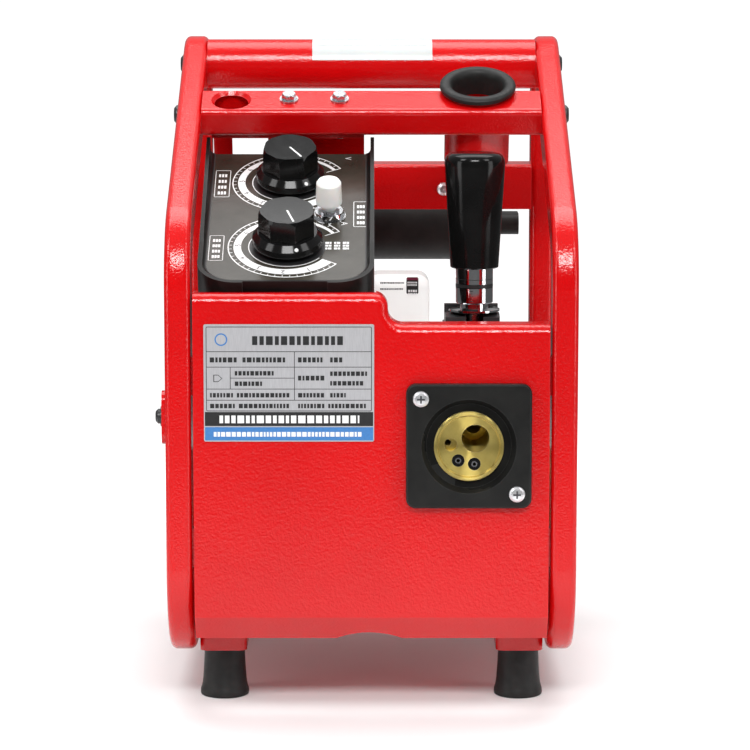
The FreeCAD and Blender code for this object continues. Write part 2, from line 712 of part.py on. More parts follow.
def feed_plate():
    """Cast plate that carries the rollers, the arm's pivot and the lever's pivot."""
    corners = [(back(58), 98), (back(58), 178), (back(126), 178), (back(136), 184), (back(162), 184), (back(162), 98)]
    plate = side_plate(corners, [6, 6, 4, 4, 8, 6], PLATE_X, PLATE_END)
    plate = plate.cut(rod(11.0, PLATE_X - 1, back(ROLLER_BACK), DRIVE_Z, RIGHT, PLATE_T + 2))
    lever_boss = rod(8.0, PLATE_END, back(LEVER_BACK), LEVER_Z, RIGHT, LEVER_X - 5.6 - PLATE_END)
    arm_boss = rod(8.0, PLATE_END, back(ARM_BACK), ARM_Z, RIGHT, ARM_X - ARM_HALF - PLATE_END - 0.3)
    guide_boss = block(PLATE_END, WIRE_X + 8, back(150), back(162), WIRE_Z - 8, WIRE_Z + 8)
    plate = merged([plate, lever_boss, arm_boss, guide_boss])
    plate = plate.cut(rod(5.0, WIRE_X, back(149), WIRE_Z, REAR, 14))
    plate = plate.cut(rod(3.0, PLATE_X - 1, back(LEVER_BACK), LEVER_Z, RIGHT, 30))
    plate = plate.cut(rod(4.0, PLATE_X - 1, back(ARM_BACK), ARM_Z, RIGHT, 30))
    for distance, height in plate_screw_places():
        plate = plate.cut(rod(2.6, PLATE_X - 1, back(distance), height, RIGHT, PLATE_T + 2))
    return plate


def plate_screw_places():
    return [(68, 106), (152, 106), (92, 170)]


def plate_screws():
    screws = []
    for distance, height in plate_screw_places():
        head = rod(4.4, PLATE_END, back(distance), height, RIGHT, 4.6)
        head = head.cut(polygon_bar(6, 2.4, PLATE_END + 2.0, back(distance), height, RIGHT, 4))
        shank = rod(2.5, PLATE_END + 0.5, back(distance), height, LEFT, PLATE_T + 9.0)
        screws.append(merged([head, shank]))
    return screws


def insulating_plate():
    corners = [(back(60), 96), (back(60), 176), (back(160), 176), (back(160), 96)]
    plate = side_plate(corners, [5, 5, 5, 5], PLATE_X - 4, PLATE_X)
    plate = plate.cut(rod(30.0, PLATE_X - 5, back(ROLLER_BACK), DRIVE_Z, RIGHT, 6))
    for distance, height in plate_screw_places():
        plate = plate.cut(rod(2.6, PLATE_X - 5, back(distance), height, RIGHT, 6))
    return plate


def feed_bracket():
    """Bent sheet from the base plate that holds the feed unit, with a shelf behind it for the relay."""
    x1 = PLATE_X - 4
    floor = BASE_Z + SHEET
    corners = [(back(58), floor), (back(58), 178), (back(164), 178), (back(164), 146), (back(212), 146)]
    corners.append((back(212), floor))
    web = side_plate(corners, [0.5, 6, 6, 3, 6, 0.5], x1 - 3, x1)
    foot = block(x1 - 22, x1, back(58), back(212), floor, floor + 3)
    shelf = block(-7.0, 35.0, back(167), back(207), 143, 146)
    bracket = merged([web, foot, shelf])
    bracket = bracket.cut(rod(30.0, x1 - 4, back(ROLLER_BACK), DRIVE_Z, RIGHT, 5))
    for distance, height in plate_screw_places():
        bracket = bracket.cut(rod(2.6, x1 - 4, back(distance), height, RIGHT, 5))
    return bracket


def gearbox():
    """Round gearbox behind the feed plate, with a bearing nose for the drive shaft."""
    y = back(ROLLER_BACK)
    barrel = rod(29.0, -6.0, y, DRIVE_Z, RIGHT, PLATE_X + 6)
    nose = rod(11.0, PLATE_X, y, DRIVE_Z, RIGHT, PLATE_T + 2)
    whole = merged([barrel, nose])
    return whole.cut(rod(6.0 + RUN, 15.0, y, DRIVE_Z, RIGHT, 40))


def motor_body():
    """Round motor with a stepped end cap and two brush holders."""
    y = back(ROLLER_BACK)
    profile = [(0, 0), (29, 0), (31, 2), (31, 60), (29, 61), (29, 68), (25, 71), (0, 71)]
    shell = turned(profile, -6.0, y, DRIVE_Z, LEFT)
    brushes = [rod(5.0, -76.0, y, DRIVE_Z + side * 18, LEFT, 6.0) for side in (-1, 1)]
    return merged([shell] + brushes)


def drive_shaft():
    y = back(ROLLER_BACK)
    journal = rod(6.0, 16.0, y, DRIVE_Z, RIGHT, ROLLER_X + ROLLER_W - 16.0)
    collar = rod(9.0, PLATE_END + 3.0, y, DRIVE_Z, RIGHT, ROLLER_X - PLATE_END - 3.0)
    shaft = merged([journal, collar])
    return shaft.cut(rod(3.0, ROLLER_X - 8, y, DRIVE_Z, RIGHT, 40))


def drive_roller():
    """Grooved steel roller."""
    y = back(ROLLER_BACK)
    w = ROLLER_W
    profile = [(6, 0), (DRIVE_R - 0.8, 0), (DRIVE_R, 0.8), (DRIVE_R, w / 2 - 0.8), (DRIVE_R - 0.9, w / 2)]
    profile += [(DRIVE_R, w / 2 + 0.8), (DRIVE_R, w - 0.8), (DRIVE_R - 0.8, w), (6, w)]
    roller = turned(profile, ROLLER_X, y, DRIVE_Z, RIGHT)
    for i in range(3):
        a = math.radians(120 * i)
        place = (y + 12 * math.cos(a), DRIVE_Z + 12 * math.sin(a))
        roller = roller.cut(rod(2.2, ROLLER_X - 1, place[0], place[1], RIGHT, w + 2))
    return roller


def roller_thumbscrew():
    y = back(ROLLER_BACK)
    x = ROLLER_X + ROLLER_W
    knob = turned([(0, 0), (10, 0), (11, 1), (11, 9), (9.6, 10.4), (0, 10.4)], x, y, DRIVE_Z, RIGHT)
    for i in range(16):
        a = math.radians(22.5 * i)
        knob = knob.cut(rod(0.9, x - 1, y + 11.2 * math.cos(a), DRIVE_Z + 11.2 * math.sin(a), RIGHT, 14))
    return merged([knob, rod(3.0, x + 0.5, y, DRIVE_Z, LEFT, 17.5)])


def pressure_arm():
    """Arm over the pressure roller; its front is a fork that the tension rod drops into."""
    x0 = ARM_X - ARM_HALF
    x1 = ARM_X + ARM_HALF
    under = DRIVE_Z + DRIVE_R + 9
    corners = [(back(65), 188), (back(65), 207), (back(98), 207), (back(100), 196), (back(136), 193)]
    corners += [(back(160), 184), (back(160), 163), (back(140), 160), (back(128), under), (back(104), under)]
    corners += [(back(96), 186)]
    arm = side_plate(corners, [3, 1, 1, 3, 6, 8, 8, 4, 4, 4, 4], x0, x1)
    seat = rod(SEAT_R - 0.4, x0 - 1, back(LEVER_BACK), LEVER_Z, RIGHT, 2 * ARM_HALF + 2)
    crown = block(x0 - 1, x1 + 1, back(60), back(93), 180, 212)
    arm = arm.cut(crown.cut(seat))
    arm = arm.cut(block(LEVER_X - 4.6, LEVER_X + 4.6, back(60), back(80.5), 180, 215))
    well = rod(PRESS_R + 1.2, ROLLER_X - 0.5, back(ROLLER_BACK), PRESS_Z, RIGHT, ROLLER_W + 1)
    arm = arm.cut(well)
    arm = arm.cut(block(ROLLER_X - 0.5, ROLLER_X + ROLLER_W + 0.5, back(99), back(137), 140, PRESS_Z))
    arm = arm.cut(rod(3.0, x0 - 1, back(ROLLER_BACK), PRESS_Z, RIGHT, 2 * ARM_HALF + 2))
    return arm.cut(rod(4.0 + RUN, x0 - 1, back(ARM_BACK), ARM_Z, RIGHT, 2 * ARM_HALF + 2))


def pressure_roller_pin():
    x1 = ARM_X + ARM_HALF
    pin = rod(3.0, ARM_X - ARM_HALF, back(ROLLER_BACK), PRESS_Z, RIGHT, 2 * ARM_HALF)
    return merged([pin, rod(5.0, x1, back(ROLLER_BACK), PRESS_Z, RIGHT, 1.6)])


def pressure_roller():
    w = ROLLER_W
    profile = [(3 + RUN, 0), (PRESS_R - 0.8, 0), (PRESS_R, 0.8), (PRESS_R, w - 0.8), (PRESS_R - 0.8, w), (3 + RUN, w)]
    return turned(profile, ROLLER_X, back(ROLLER_BACK), PRESS_Z, RIGHT)


def arm_pivot_pin():
    x1 = ARM_X + ARM_HALF + 0.3
    pin = rod(4.0, PLATE_X, back(ARM_BACK), ARM_Z, RIGHT, x1 - PLATE_X)
    return merged([pin, rod(6.5, x1, back(ARM_BACK), ARM_Z, RIGHT, 3.0)])


def lever_pivot_pin():
    x1 = LEVER_X + 5.3
    pin = rod(3.0, PLATE_X, back(LEVER_BACK), LEVER_Z, RIGHT, x1 - PLATE_X)
    return merged([pin, rod(5.0, x1, back(LEVER_BACK), LEVER_Z, RIGHT, 3.0)])


def tension_rod():
    """Eye bolt that hooks over the fork and holds the arm down."""
    y = back(LEVER_BACK)
    eye = rod(7.0, LEVER_X - 5, y, LEVER_Z, RIGHT, 10.0)
    bolt = merged([eye, rod(ROD_R, LEVER_X, y, LEVER_Z, UP, 110.0)])
    return bolt.cut(rod(3.0 + RUN, LEVER_X - 6, y, LEVER_Z, RIGHT, 12))


def tension_washer():
    """Flanged sleeve that slides on the rod and presses on the fork."""
    z = LEVER_Z + SEAT_R
    profile = [(ROD_R + RUN, 0), (12.0, 0), (13.6, 0.8), (13.6, 1.8), (7.5, 2.2), (7.5, 16), (ROD_R + RUN, 16)]
    return turned(profile, LEVER_X, back(LEVER_BACK), z, UP)


def tension_spring():
    return coil(6.1, 0.7, 3.4, 11, LEVER_X, back(LEVER_BACK), 221.9, UP)


def tension_barrel():
    """Chromed tube under the handle with a groove for the scale ring."""
    z = 210.0
    profile = [(7.8, 0), (9.4, 0), (10.0, 0.6), (10.0, 8.4), (9.4, 8.6), (9.4, 10.4), (10.0, 10.6), (10.0, 32), (7.8, 32)]
    return turned(profile, LEVER_X, back(LEVER_BACK), z, UP)


def tension_handle():
    """Tapered grip that turns on the rod to set the spring."""
    profile = [(10, 229.0), (12.4, 229.0), (12.9, 229.5), (15.9, 279.0), (16.2, 284.6), (15.9, 287.0), (15.0, 288.8)]
    profile += [(13.4, 290.0), (11, 290.6)]
    profile += [(0, 291), (0, 278), (ROD_R + RUN, 278), (ROD_R + RUN, 262), (7.8, 262), (7.8, 242), (10, 242)]
    return turned(profile, LEVER_X, back(LEVER_BACK), 0, UP)


def wire_guides():
    """Tapered tube from the rollers to the socket, and the one that brings the wire in."""
    outlet = turned([(1.2, 0), (4.0, 0), (4.0, 30), (1.6, 40), (1.2, 40)], WIRE_X, back(70), WIRE_Z, REAR)
    profile = [(1.2, 0), (1.8, 0), (5.0, 9), (5.0, 36), (7.5, 36), (7.5, 40), (3.0, 40), (1.2, 34)]
    inlet = turned(profile, WIRE_X, back(126), WIRE_Z, REAR)
    return [outlet, inlet]


def relay_case():
    """Translucent plastic case with a rounded top, open below."""
    top = 213.7

    def shell(inset, z0):
        x0 = -3.0 + inset
        x1 = 33.0 - inset
        body = block(x0, x1, back(170) + inset, back(204) - inset, z0, top - inset)
        rim = [e for e in body.Edges if e.BoundBox.ZMax > top - 0.1 - inset]
        upright = [e for e in body.Edges if abs(e.tangentAt(e.FirstParameter).z) > 0.9]
        return body.makeFillet(7.0 - inset, rim + upright)
    return shell(0, 146.0).cut(shell(1.6, 145.0))


# ---------------------------------------------------------------- rear

REAR_PLATE_Y = back(228)


def rear_plate():
    z0 = BASE_Z + SHEET
    plate = block(-CLEAR_HALF, CLEAR_HALF, REAR_PLATE_Y, REAR_PLATE_Y + SHEET, z0, 105.0)
    lip = block(-CLEAR_HALF, CLEAR_HALF, REAR_PLATE_Y - 10, REAR_PLATE_Y, z0, z0 + SHEET)
    lip = lip.cut(block(BRACKET_X - 24, BRACKET_X + BRACKET_T + 1, REAR_PLATE_Y - 11, REAR_PLATE_Y, z0, z0 + 5))
    plate = merged([plate, lip])
    plate = plate.cut(rod(6.0, 62.0, REAR_PLATE_Y - 1, 76.0, REAR, 5))
    plate = plate.cut(rod(12.0, 8.0, REAR_PLATE_Y - 1, 76.0, REAR, 5))
    return plate.cut(rod(5.0, -58.0, REAR_PLATE_Y - 1, 76.0, REAR, 5))


def gas_valve():
    y1 = REAR_PLATE_Y
    body = block(47.0, 77.0, y1 - 34, y1 - 6, 60.0, 92.0)
    nose = rod(6.0, 62.0, y1 - 6, 76.0, REAR, 8.5)
    coil_can = rod(12.0, 62.0, y1 - 20, 92.0, UP, 26)
    outlet = rod(3.6, 62.0, y1 - 34, 76.0, AHEAD, 12)
    return merged([body, nose, coil_can, outlet])


def gas_inlet_nipple():
    """Hose tail with its hexagon."""
    y0 = REAR_PLATE_Y + SHEET
    hexagon = polygon_bar(6, 9.5, 62.0, y0, 76.0, REAR, 6.0)
    tail = turned([(0, 6), (4.0, 6), (4.0, 22), (3.2, 23), (0, 23)], 62.0, y0, 76.0, REAR)
    return merged([hexagon, tail]).cut(rod(2.0, 62.0, y0, 76.0, REAR, 30))


def control_connector():
    y0 = REAR_PLATE_Y
    shell = tube(12.0, 9.5, 8.0, y0 - 8, 76.0, REAR, 22)
    nut = tube(15.0, 12.0, 8.0, y0 + SHEET, 76.0, REAR, 4)
    insert = rod(9.5, 8.0, y0 - 8, 76.0, REAR, 16)
    return merged([shell, nut, insert])


def cable_terminal():
    y0 = REAR_PLATE_Y
    stud = rod(5.0, -58.0, y0 - 22, 76.0, REAR, 56)
    nut = polygon_bar(6, 9.8, -58.0, y0 + SHEET, 76.0, REAR, 8)
    inner = polygon_bar(6, 9.8, -58.0, y0 - 8, 76.0, REAR, 8)
    return merged([stud, nut, inner])


# ---------------------------------------------------------------- spool hub

def spool_bracket():
    """Bent plate from the base and the rear crossbeam out to the hub."""
    x0 = BRACKET_X
    floor = BASE_Z + SHEET
    corners = [(back(196), floor), (back(196), 70), (back(218), 112), (back(250), 140), (back(262), 240)]
    corners += [(back(262), 262), (back(HUB_BACK - 5), 268), (back(HUB_BACK + 33), 244), (back(HUB_BACK + 33), 200)]
    corners += [(back(300), 176), (back(262), 112), (back(225), 108), (back(225), floor)]
    web = side_plate(corners, [1, 10, 6, 10, 4, 4, 20, 20, 20, 20, 12, 2, 1], x0, x0 + BRACKET_T)
    foot = block(x0 - 22, x0, back(196), back(225), floor, floor + BRACKET_T)
    ear = block(x0, x0 + BRACKET_T, back(DEPTH - RAIL_H) - 5, back(264), 246.0, 262.0)
    tab = block(x0 - 16, x0 + BRACKET_T, back(DEPTH - RAIL_H) - 5, back(DEPTH - RAIL_H) - 1, 246.0, 262.0)
    bracket = merged([web, foot, ear, tab])
    return bracket.cut(rod(SHAFT_R, x0 - 1, back(HUB_BACK), HUB_Z, RIGHT, BRACKET_T + 2))


def spool_shaft():
    y = back(HUB_BACK)
    shaft = rod(SHAFT_R, BRACKET_X, y, HUB_Z, RIGHT, 90.0)
    head = polygon_bar(6, 13.0, BRACKET_X - 8, y, HUB_Z, RIGHT, 8.0)
    collar = rod(13.0, BRACKET_X + BRACKET_T, y, HUB_Z, RIGHT, 1.8)
    return merged([shaft, head, collar])


def spool_hub():
    """Plastic hub for the wire spool: flange, drum and a pocket for the brake at its free end."""
    y = back(HUB_BACK)
    x = HUB_LEFT
    length = HUB_RIGHT - HUB_LEFT
    profile = [(SHAFT_R + RUN, -4), (36, -4), (36, 0), (HUB_R, 0), (HUB_R, length - 2), (HUB_R - 2, length)]
    profile += [(11.5, length), (11.5, 50), (SHAFT_R + RUN, 50)]
    hub = turned(profile, x, y, HUB_Z, RIGHT)
    return hub.cut(rod(2.5, HUB_RIGHT - 14, y - LATCH_OFF, HUB_Z, RIGHT, 20))


def hub_nut():
    y = back(HUB_BACK)
    nut = polygon_bar(6, 11.0, 57.5, y, HUB_Z, RIGHT, 8.0)
    return nut.cut(rod(SHAFT_R, 56, y, HUB_Z, RIGHT, 12))


def hub_latch():
    """Small bar on the hub's end that swings out past the rim to keep the spool on."""
    y = back(HUB_BACK) - LATCH_OFF
    x = HUB_RIGHT + 0.3
    pivot_end = rod(6.4, x, y, HUB_Z, RIGHT, LATCH_T)
    tip = rod(6.4, x, y - 14.0, HUB_Z, RIGHT, LATCH_T)
    bar = block(x, x + LATCH_T, y - 14.0, y, HUB_Z - 6.4, HUB_Z + 6.4)
    pin = rod(2.5 - RUN, HUB_RIGHT - 13, y, HUB_Z, RIGHT, 14)
    return merged([pivot_end, tip, bar, pin])


# ---------------------------------------------------------------- export

os.makedirs("parts", exist_ok=True)

save("side_frame_left", side_frame(-1))
save("side_frame_right", side_frame(1))
save("frame_bolts", *frame_bolts(), side_pad_bolt())
save("front_panel", front_panel())
save("rating_plate", rating_plate())
save("base_plate", base_plate())
save("foot_pads", *foot_pads())
save("rubber_feet", *rubber_feet())
save("foot_screws", *foot_screws(), *foot_nuts())
save("front_beam", front_beam())
save("beam_screws", *beam_screws(), *beam_washers())
save("control_bracket", control_bracket())
save("torch_holder_tube", torch_holder_tube())
save("torch_holder_grommet", torch_holder_grommet())
save("handle_tube", handle_tube())
save("handle_sticker", handle_sticker())
save("rear_crossbeam", rear_crossbeam())
save("pan_screws", *crossbeam_screws(), *flange_screws())
save("control_housing", control_housing())
save("control_face", control_face())
save("housing_cover", housing_cover())
save("potentiometers", *potentiometers())
save("voltage_knob", *control_knob(VOLTAGE_U, VOLTAGE_POINTS))
save("current_knob", *control_knob(CURRENT_U, CURRENT_POINTS))
save("inch_switch_body", inch_switch_body())
save("inch_switch_nut", inch_switch_nut())
save("inch_button_cap", inch_button_cap())
save("socket_flange", socket_flange())
save("socket_body", socket_body())
save("socket_contacts", *contact_insulators(), *contact_sleeves())
save("feed_plate", feed_plate())
save("plate_screws", *plate_screws())
save("insulating_plate", insulating_plate())
save("feed_bracket", feed_bracket())
save("gearbox", gearbox())
save("motor_body", motor_body())
save("drive_shaft", drive_shaft())
save("drive_roller", drive_roller())
save("roller_thumbscrew", roller_thumbscrew())
save("pressure_arm", pressure_arm())
save("pressure_roller_pin", pressure_roller_pin())
save("pressure_roller", pressure_roller())
save("pivot_pins", arm_pivot_pin(), lever_pivot_pin())
save("tension_rod", tension_rod())
save("tension_washer", tension_washer())
save("tension_spring", tension_spring())
save("tension_barrel", tension_barrel())
save("tension_handle", tension_handle())
save("wire_guides", *wire_guides())
save("relay_case", relay_case())
save("rear_plate", rear_plate())
save("gas_valve", gas_valve())
save("gas_inlet_nipple", gas_inlet_nipple())
save("control_connector", control_connector())
save("cable_terminal", cable_terminal())
save("spool_bracket", spool_bracket())
save("spool_shaft", spool_shaft())
save("spool_hub", spool_hub())
save("hub_nut", hub_nut())
save("hub_latch", hub_latch())
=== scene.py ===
import json
import math
import random

import bmesh
import bpy
from mathutils import Matrix, Vector


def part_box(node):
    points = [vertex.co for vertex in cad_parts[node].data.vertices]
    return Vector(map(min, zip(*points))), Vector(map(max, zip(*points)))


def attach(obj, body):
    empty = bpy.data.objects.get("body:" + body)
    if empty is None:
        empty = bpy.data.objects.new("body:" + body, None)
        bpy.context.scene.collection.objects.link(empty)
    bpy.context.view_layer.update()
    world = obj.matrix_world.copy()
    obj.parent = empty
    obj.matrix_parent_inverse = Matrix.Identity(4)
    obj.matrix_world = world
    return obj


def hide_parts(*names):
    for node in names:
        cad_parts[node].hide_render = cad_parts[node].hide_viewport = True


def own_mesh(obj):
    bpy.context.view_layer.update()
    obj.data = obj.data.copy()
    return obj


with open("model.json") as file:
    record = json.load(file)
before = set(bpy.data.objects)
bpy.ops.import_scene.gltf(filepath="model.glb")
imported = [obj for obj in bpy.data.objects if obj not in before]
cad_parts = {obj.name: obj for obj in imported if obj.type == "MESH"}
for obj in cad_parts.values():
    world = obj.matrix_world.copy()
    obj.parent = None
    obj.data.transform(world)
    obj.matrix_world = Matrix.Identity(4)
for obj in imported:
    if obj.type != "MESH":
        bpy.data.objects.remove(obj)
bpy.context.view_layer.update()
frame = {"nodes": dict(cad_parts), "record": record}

random.seed(7)
MM = 0.001
PRINT_LOW = -0.02       # mm: print starts just under its surface, so that no gap shows
PRINT_HIGH = 0.06       # mm: and stands this far above it on the control box
PLATE_HIGH = 0.05       # mm: the same on the rating plate
NODES = frame["nodes"]
RECORD = frame["record"]

# ------------------------------------------------------------------ places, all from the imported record


def joint(name):
    return next(j for j in RECORD["behaviour"]["joints"] if j["name"] == name)


def mount(name):
    return next(m for m in RECORD["mounts"] if m["name"] == name)


FACE_NORMAL = Vector(joint("voltage_knob_turn")["axis"]).normalized()
RIGHT = Vector((1, 0, 0))
UPHILL = FACE_NORMAL.cross(RIGHT).normalized()
VOLTAGE = Vector(joint("voltage_knob_turn")["pos_m"])
CURRENT = Vector(joint("current_knob_turn")["pos_m"])
LEVER = Vector(joint("tension_lever_swing")["pos_m"])
SOCKET = Vector(mount("torch_socket")["pos_m"])


class Plane:
    """A flat place to draw on: origin, the two directions along it and the way it faces."""

    def __init__(self, origin, across, along):
        self.origin = Vector(origin)
        self.across = Vector(across).normalized()
        self.along = Vector(along).normalized()
        self.out = self.across.cross(self.along).normalized()

    def at(self, a, b, c=0.0):
        return self.origin + self.across * (a * MM) + self.along * (b * MM) + self.out * (c * MM)


# ------------------------------------------------------------------ materials


class Shader:
    """Small helper round a node tree: coordinates in metres, noise, ramps and bumps that chain up."""

    def __init__(self, name):
        self.material = bpy.data.materials.new(name)
        self.material.use_nodes = True
        self.tree = self.material.node_tree
        self.tree.nodes.clear()
        self.output = self.add("ShaderNodeOutputMaterial")
        self.bsdf = self.add("ShaderNodeBsdfPrincipled")
        self.link(self.bsdf, "BSDF", self.output, "Surface")
        self.coords = self.add("ShaderNodeTexCoord")
        self.normal = None

    def add(self, kind, **values):
        node = self.tree.nodes.new(kind)
        for key, value in values.items():
            setattr(node, key, value)
        return node

    def link(self, a, out, b, into):
        self.tree.links.new(a.outputs[out], b.inputs[into])

    def set(self, **values):
        for key, value in values.items():
            self.bsdf.inputs[key.replace("_", " ")].default_value = value
        return self

    def noise(self, scale, detail=3.0, rough=0.55, stretch=(1, 1, 1)):
        mapping = self.add("ShaderNodeMapping")
        mapping.inputs["Scale"].default_value = stretch
        self.link(self.coords, "Object", mapping, "Vector")
        node = self.add("ShaderNodeTexNoise")
        node.inputs["Scale"].default_value = scale
        node.inputs["Detail"].default_value = detail
        node.inputs["Roughness"].default_value = rough
        self.link(mapping, "Vector", node, "Vector")
        return node

    def ramp(self, source, output, stops):
        node = self.add("ShaderNodeValToRGB")
        elements = node.color_ramp.elements
        while len(elements) < len(stops):
            elements.new(0.5)
        for element, (place, colour) in zip(elements, stops):
            element.position = place
            element.color = (*colour, 1) if len(colour) == 3 else colour
        self.link(source, output, node, "Fac")
        return node

    def colour(self, source, output, stops):
        self.link(self.ramp(source, output, stops), "Color", self.bsdf, "Base Color")
        return self

    def roughness(self, source, output, low, high):
        node = self.add("ShaderNodeMapRange")
        node.inputs["To Min"].default_value = low
        node.inputs["To Max"].default_value = high
        self.link(source, output, node, "Value")
        self.link(node, "Result", self.bsdf, "Roughness")
        return self

    def bump(self, source, output, strength, distance):
        node = self.add("ShaderNodeBump")
        node.inputs["Strength"].default_value = strength
        node.inputs["Distance"].default_value = distance
        self.link(source, output, node, "Height")
        if self.normal:
            self.link(self.normal, "Normal", node, "Normal")
        self.normal = node
        self.link(node, "Normal", self.bsdf, "Normal")
        return self

    def edge_wear(self, colour, radius=0.0006, amount=0.5):
        """Painted edge highlight: lightens the colour along every edge, as light catching it would; the
        rounded normal differs from the true one only near an edge.
        """
        bevel = self.add("ShaderNodeBevel", samples=4)
        bevel.inputs["Radius"].default_value = radius
        geometry = self.add("ShaderNodeNewGeometry")
        dot = self.add("ShaderNodeVectorMath", operation="DOT_PRODUCT")
        self.link(bevel, "Normal", dot, 0)
        self.link(geometry, "Normal", dot, 1)
        highlit = self.add("ShaderNodeMapRange")
        highlit.inputs["From Min"].default_value = 0.98
        highlit.inputs["From Max"].default_value = 0.80
        highlit.inputs["To Max"].default_value = amount
        self.link(dot, "Value", highlit, "Value")
        mix = self.add("ShaderNodeMix", data_type="RGBA")
        mix.inputs[7].default_value = (*colour, 1)
        before = self.bsdf.inputs["Base Color"].links[0].from_socket
        self.tree.links.new(before, mix.inputs[6])
        self.link(highlit, "Result", mix, 0)
        self.tree.links.new(mix.outputs[2], self.bsdf.inputs["Base Color"])
        return self


def red_paint():
    """Gloss powder coat with orange peel."""
    s = Shader("red_paint")
    tint = s.noise(9, 3)
    s.colour(tint, "Fac", [(0.35, (0.55, 0.002, 0.003)), (0.65, (0.62, 0.003, 0.004))])
    s.roughness(s.noise(60, 4), "Fac", 0.13, 0.20)
    s.bump(s.noise(820, 2, 0.5), "Fac", 0.60, 0.0003)
    s.set(Specular_IOR_Level=0.50)
    # the lighter red along the edges is a painted edge highlight
    return s.edge_wear((0.80, 0.05, 0.06), 0.0008, 0.45).material


def gloss_black():
    s = Shader("gloss_black")
    s.colour(s.noise(40), "Fac", [(0.3, (0.004, 0.004, 0.004)), (0.7, (0.008, 0.008, 0.008))])
    s.roughness(s.noise(180, 4), "Fac", 0.08, 0.16)
    s.bump(s.noise(900, 2), "Fac", 0.06, 0.0001)
    s.set(Specular_IOR_Level=0.20)
    # the lighter grey along the edges is a painted edge highlight
    return s.edge_wear((0.05, 0.05, 0.055), 0.0005, 0.4).material


def satin_black():
    s = Shader("satin_black")
    s.set(Specular_IOR_Level=0.18)
    s.colour(s.noise(60), "Fac", [(0.3, (0.010, 0.010, 0.010)), (0.7, (0.020, 0.020, 0.019))])
    s.roughness(s.noise(300, 5), "Fac", 0.42, 0.58)
    s.bump(s.noise(2400, 3), "Fac", 0.30, 0.0001)
    # the lighter grey along the edges is a painted edge highlight
    return s.edge_wear((0.09, 0.09, 0.10), 0.0006, 0.4).material


def face_black():
    """Printed panel of the control box: dark, slightly warm, fine grain."""
    s = Shader("face_black")
    s.colour(s.noise(70, 4), "Fac", [(0.3, (0.032, 0.028, 0.021)), (0.7, (0.048, 0.043, 0.034))])
    s.roughness(s.noise(260, 4), "Fac", 0.20, 0.30)
    s.set(Specular_IOR_Level=0.36)
    s.bump(s.noise(3000, 2), "Fac", 0.25, 0.00006)
    return s.material


def moulded_black(name, rough_low, rough_high, specular):
    """Black moulding a shade duller than the knobs."""
    s = Shader(name)
    s.colour(s.noise(60), "Fac", [(0.3, (0.007, 0.007, 0.007)), (0.7, (0.013, 0.013, 0.012))])
    s.roughness(s.noise(240, 4), "Fac", rough_low, rough_high)
    s.bump(s.noise(1600, 3), "Fac", 0.18, 0.00008)
    s.set(Specular_IOR_Level=specular)
    # the lighter grey along the edges is a painted edge highlight
    return s.edge_wear((0.10, 0.10, 0.10), 0.0005, 0.5).material


def rubber():
    s = Shader("rubber_black")
    s.set(Specular_IOR_Level=0.3)
    s.colour(s.noise(130, 5), "Fac", [(0.3, (0.008, 0.008, 0.008)), (0.75, (0.020, 0.020, 0.019))])
    s.roughness(s.noise(400, 4), "Fac", 0.38, 0.62)
    s.bump(s.noise(1500, 4), "Fac", 0.35, 0.00015)
    return s.material


def brass(name="brass_yellow", spin=None):
    """Turned brass; spin is a point on the turning axis, which runs along Y."""
    s = Shader(name)
    s.set(Metallic=1.0)
    s.colour(s.noise(90, 4), "Fac", [(0.3, (0.50, 0.38, 0.10)), (0.7, (0.68, 0.55, 0.17))])
    s.roughness(s.noise(500, 4), "Fac", *((0.10, 0.24) if spin is None else (0.28, 0.38)))
    if spin is not None:
        around = s.add("ShaderNodeTangent", direction_type="RADIAL", axis="Y")
        s.link(around, "Tangent", s.bsdf, "Tangent")
        s.set(Anisotropic=0.95, Anisotropic_Rotation=0.25)
        shift = s.add("ShaderNodeMapping")
        shift.inputs["Location"].default_value = -spin
        s.link(s.coords, "Object", shift, "Vector")
        rings = s.add("ShaderNodeTexWave", wave_type="RINGS", rings_direction="Y")
        rings.inputs["Scale"].default_value = 260
        rings.inputs["Distortion"].default_value = 0.6
        s.link(shift, "Vector", rings, "Vector")
        s.bump(rings, "Fac", 0.12, 0.00008)
    s.bump(s.noise(1200, 3), "Fac", 0.10, 0.00006)
    # the pale brass along the edges is a painted edge highlight
    return s.edge_wear((1.0, 0.85, 0.50), 0.0004, 0.6).material


def metal(name, dark, light, rough_low, rough_high, grain=900, depth=0.10, stretch=(1, 1, 1)):
    s = Shader(name)
    s.set(Metallic=1.0)
    s.colour(s.noise(120, 4, 0.6, stretch), "Fac", [(0.3, dark), (0.7, light)])
    s.roughness(s.noise(420, 4, 0.6, stretch), "Fac", rough_low, rough_high)
    s.bump(s.noise(grain, 3, 0.6, stretch), "Fac", depth, 0.00008)
    # the brighter metal along the edges is a painted edge highlight
    return s.edge_wear(tuple(min(1.0, 1.25 * c) for c in light), 0.0004, 0.5).material


def painted(name, dark, light, rough):
    s = Shader(name)
    s.colour(s.noise(80, 4), "Fac", [(0.3, dark), (0.7, light)])
    s.roughness(s.noise(260, 4), "Fac", rough - 0.08, rough + 0.08)
    s.bump(s.noise(1100, 3), "Fac", 0.2, 0.0001)
    # the lighter colour along the edges is a painted edge highlight
    return s.edge_wear(tuple(min(1.0, 2.2 * c + 0.02) for c in light), 0.0005, 0.5).material


def laminate():
    s = Shader("laminate_brown")
    s.colour(s.noise(300, 5, 0.6, (1, 8, 1)), "Fac", [(0.3, (0.16, 0.06, 0.02)), (0.7, (0.30, 0.13, 0.05))])
    s.roughness(s.noise(300, 4), "Fac", 0.35, 0.5)
    s.bump(s.noise(2200, 2, 0.5, (1, 3, 1)), "Fac", 0.3, 0.0001)
    return s.material


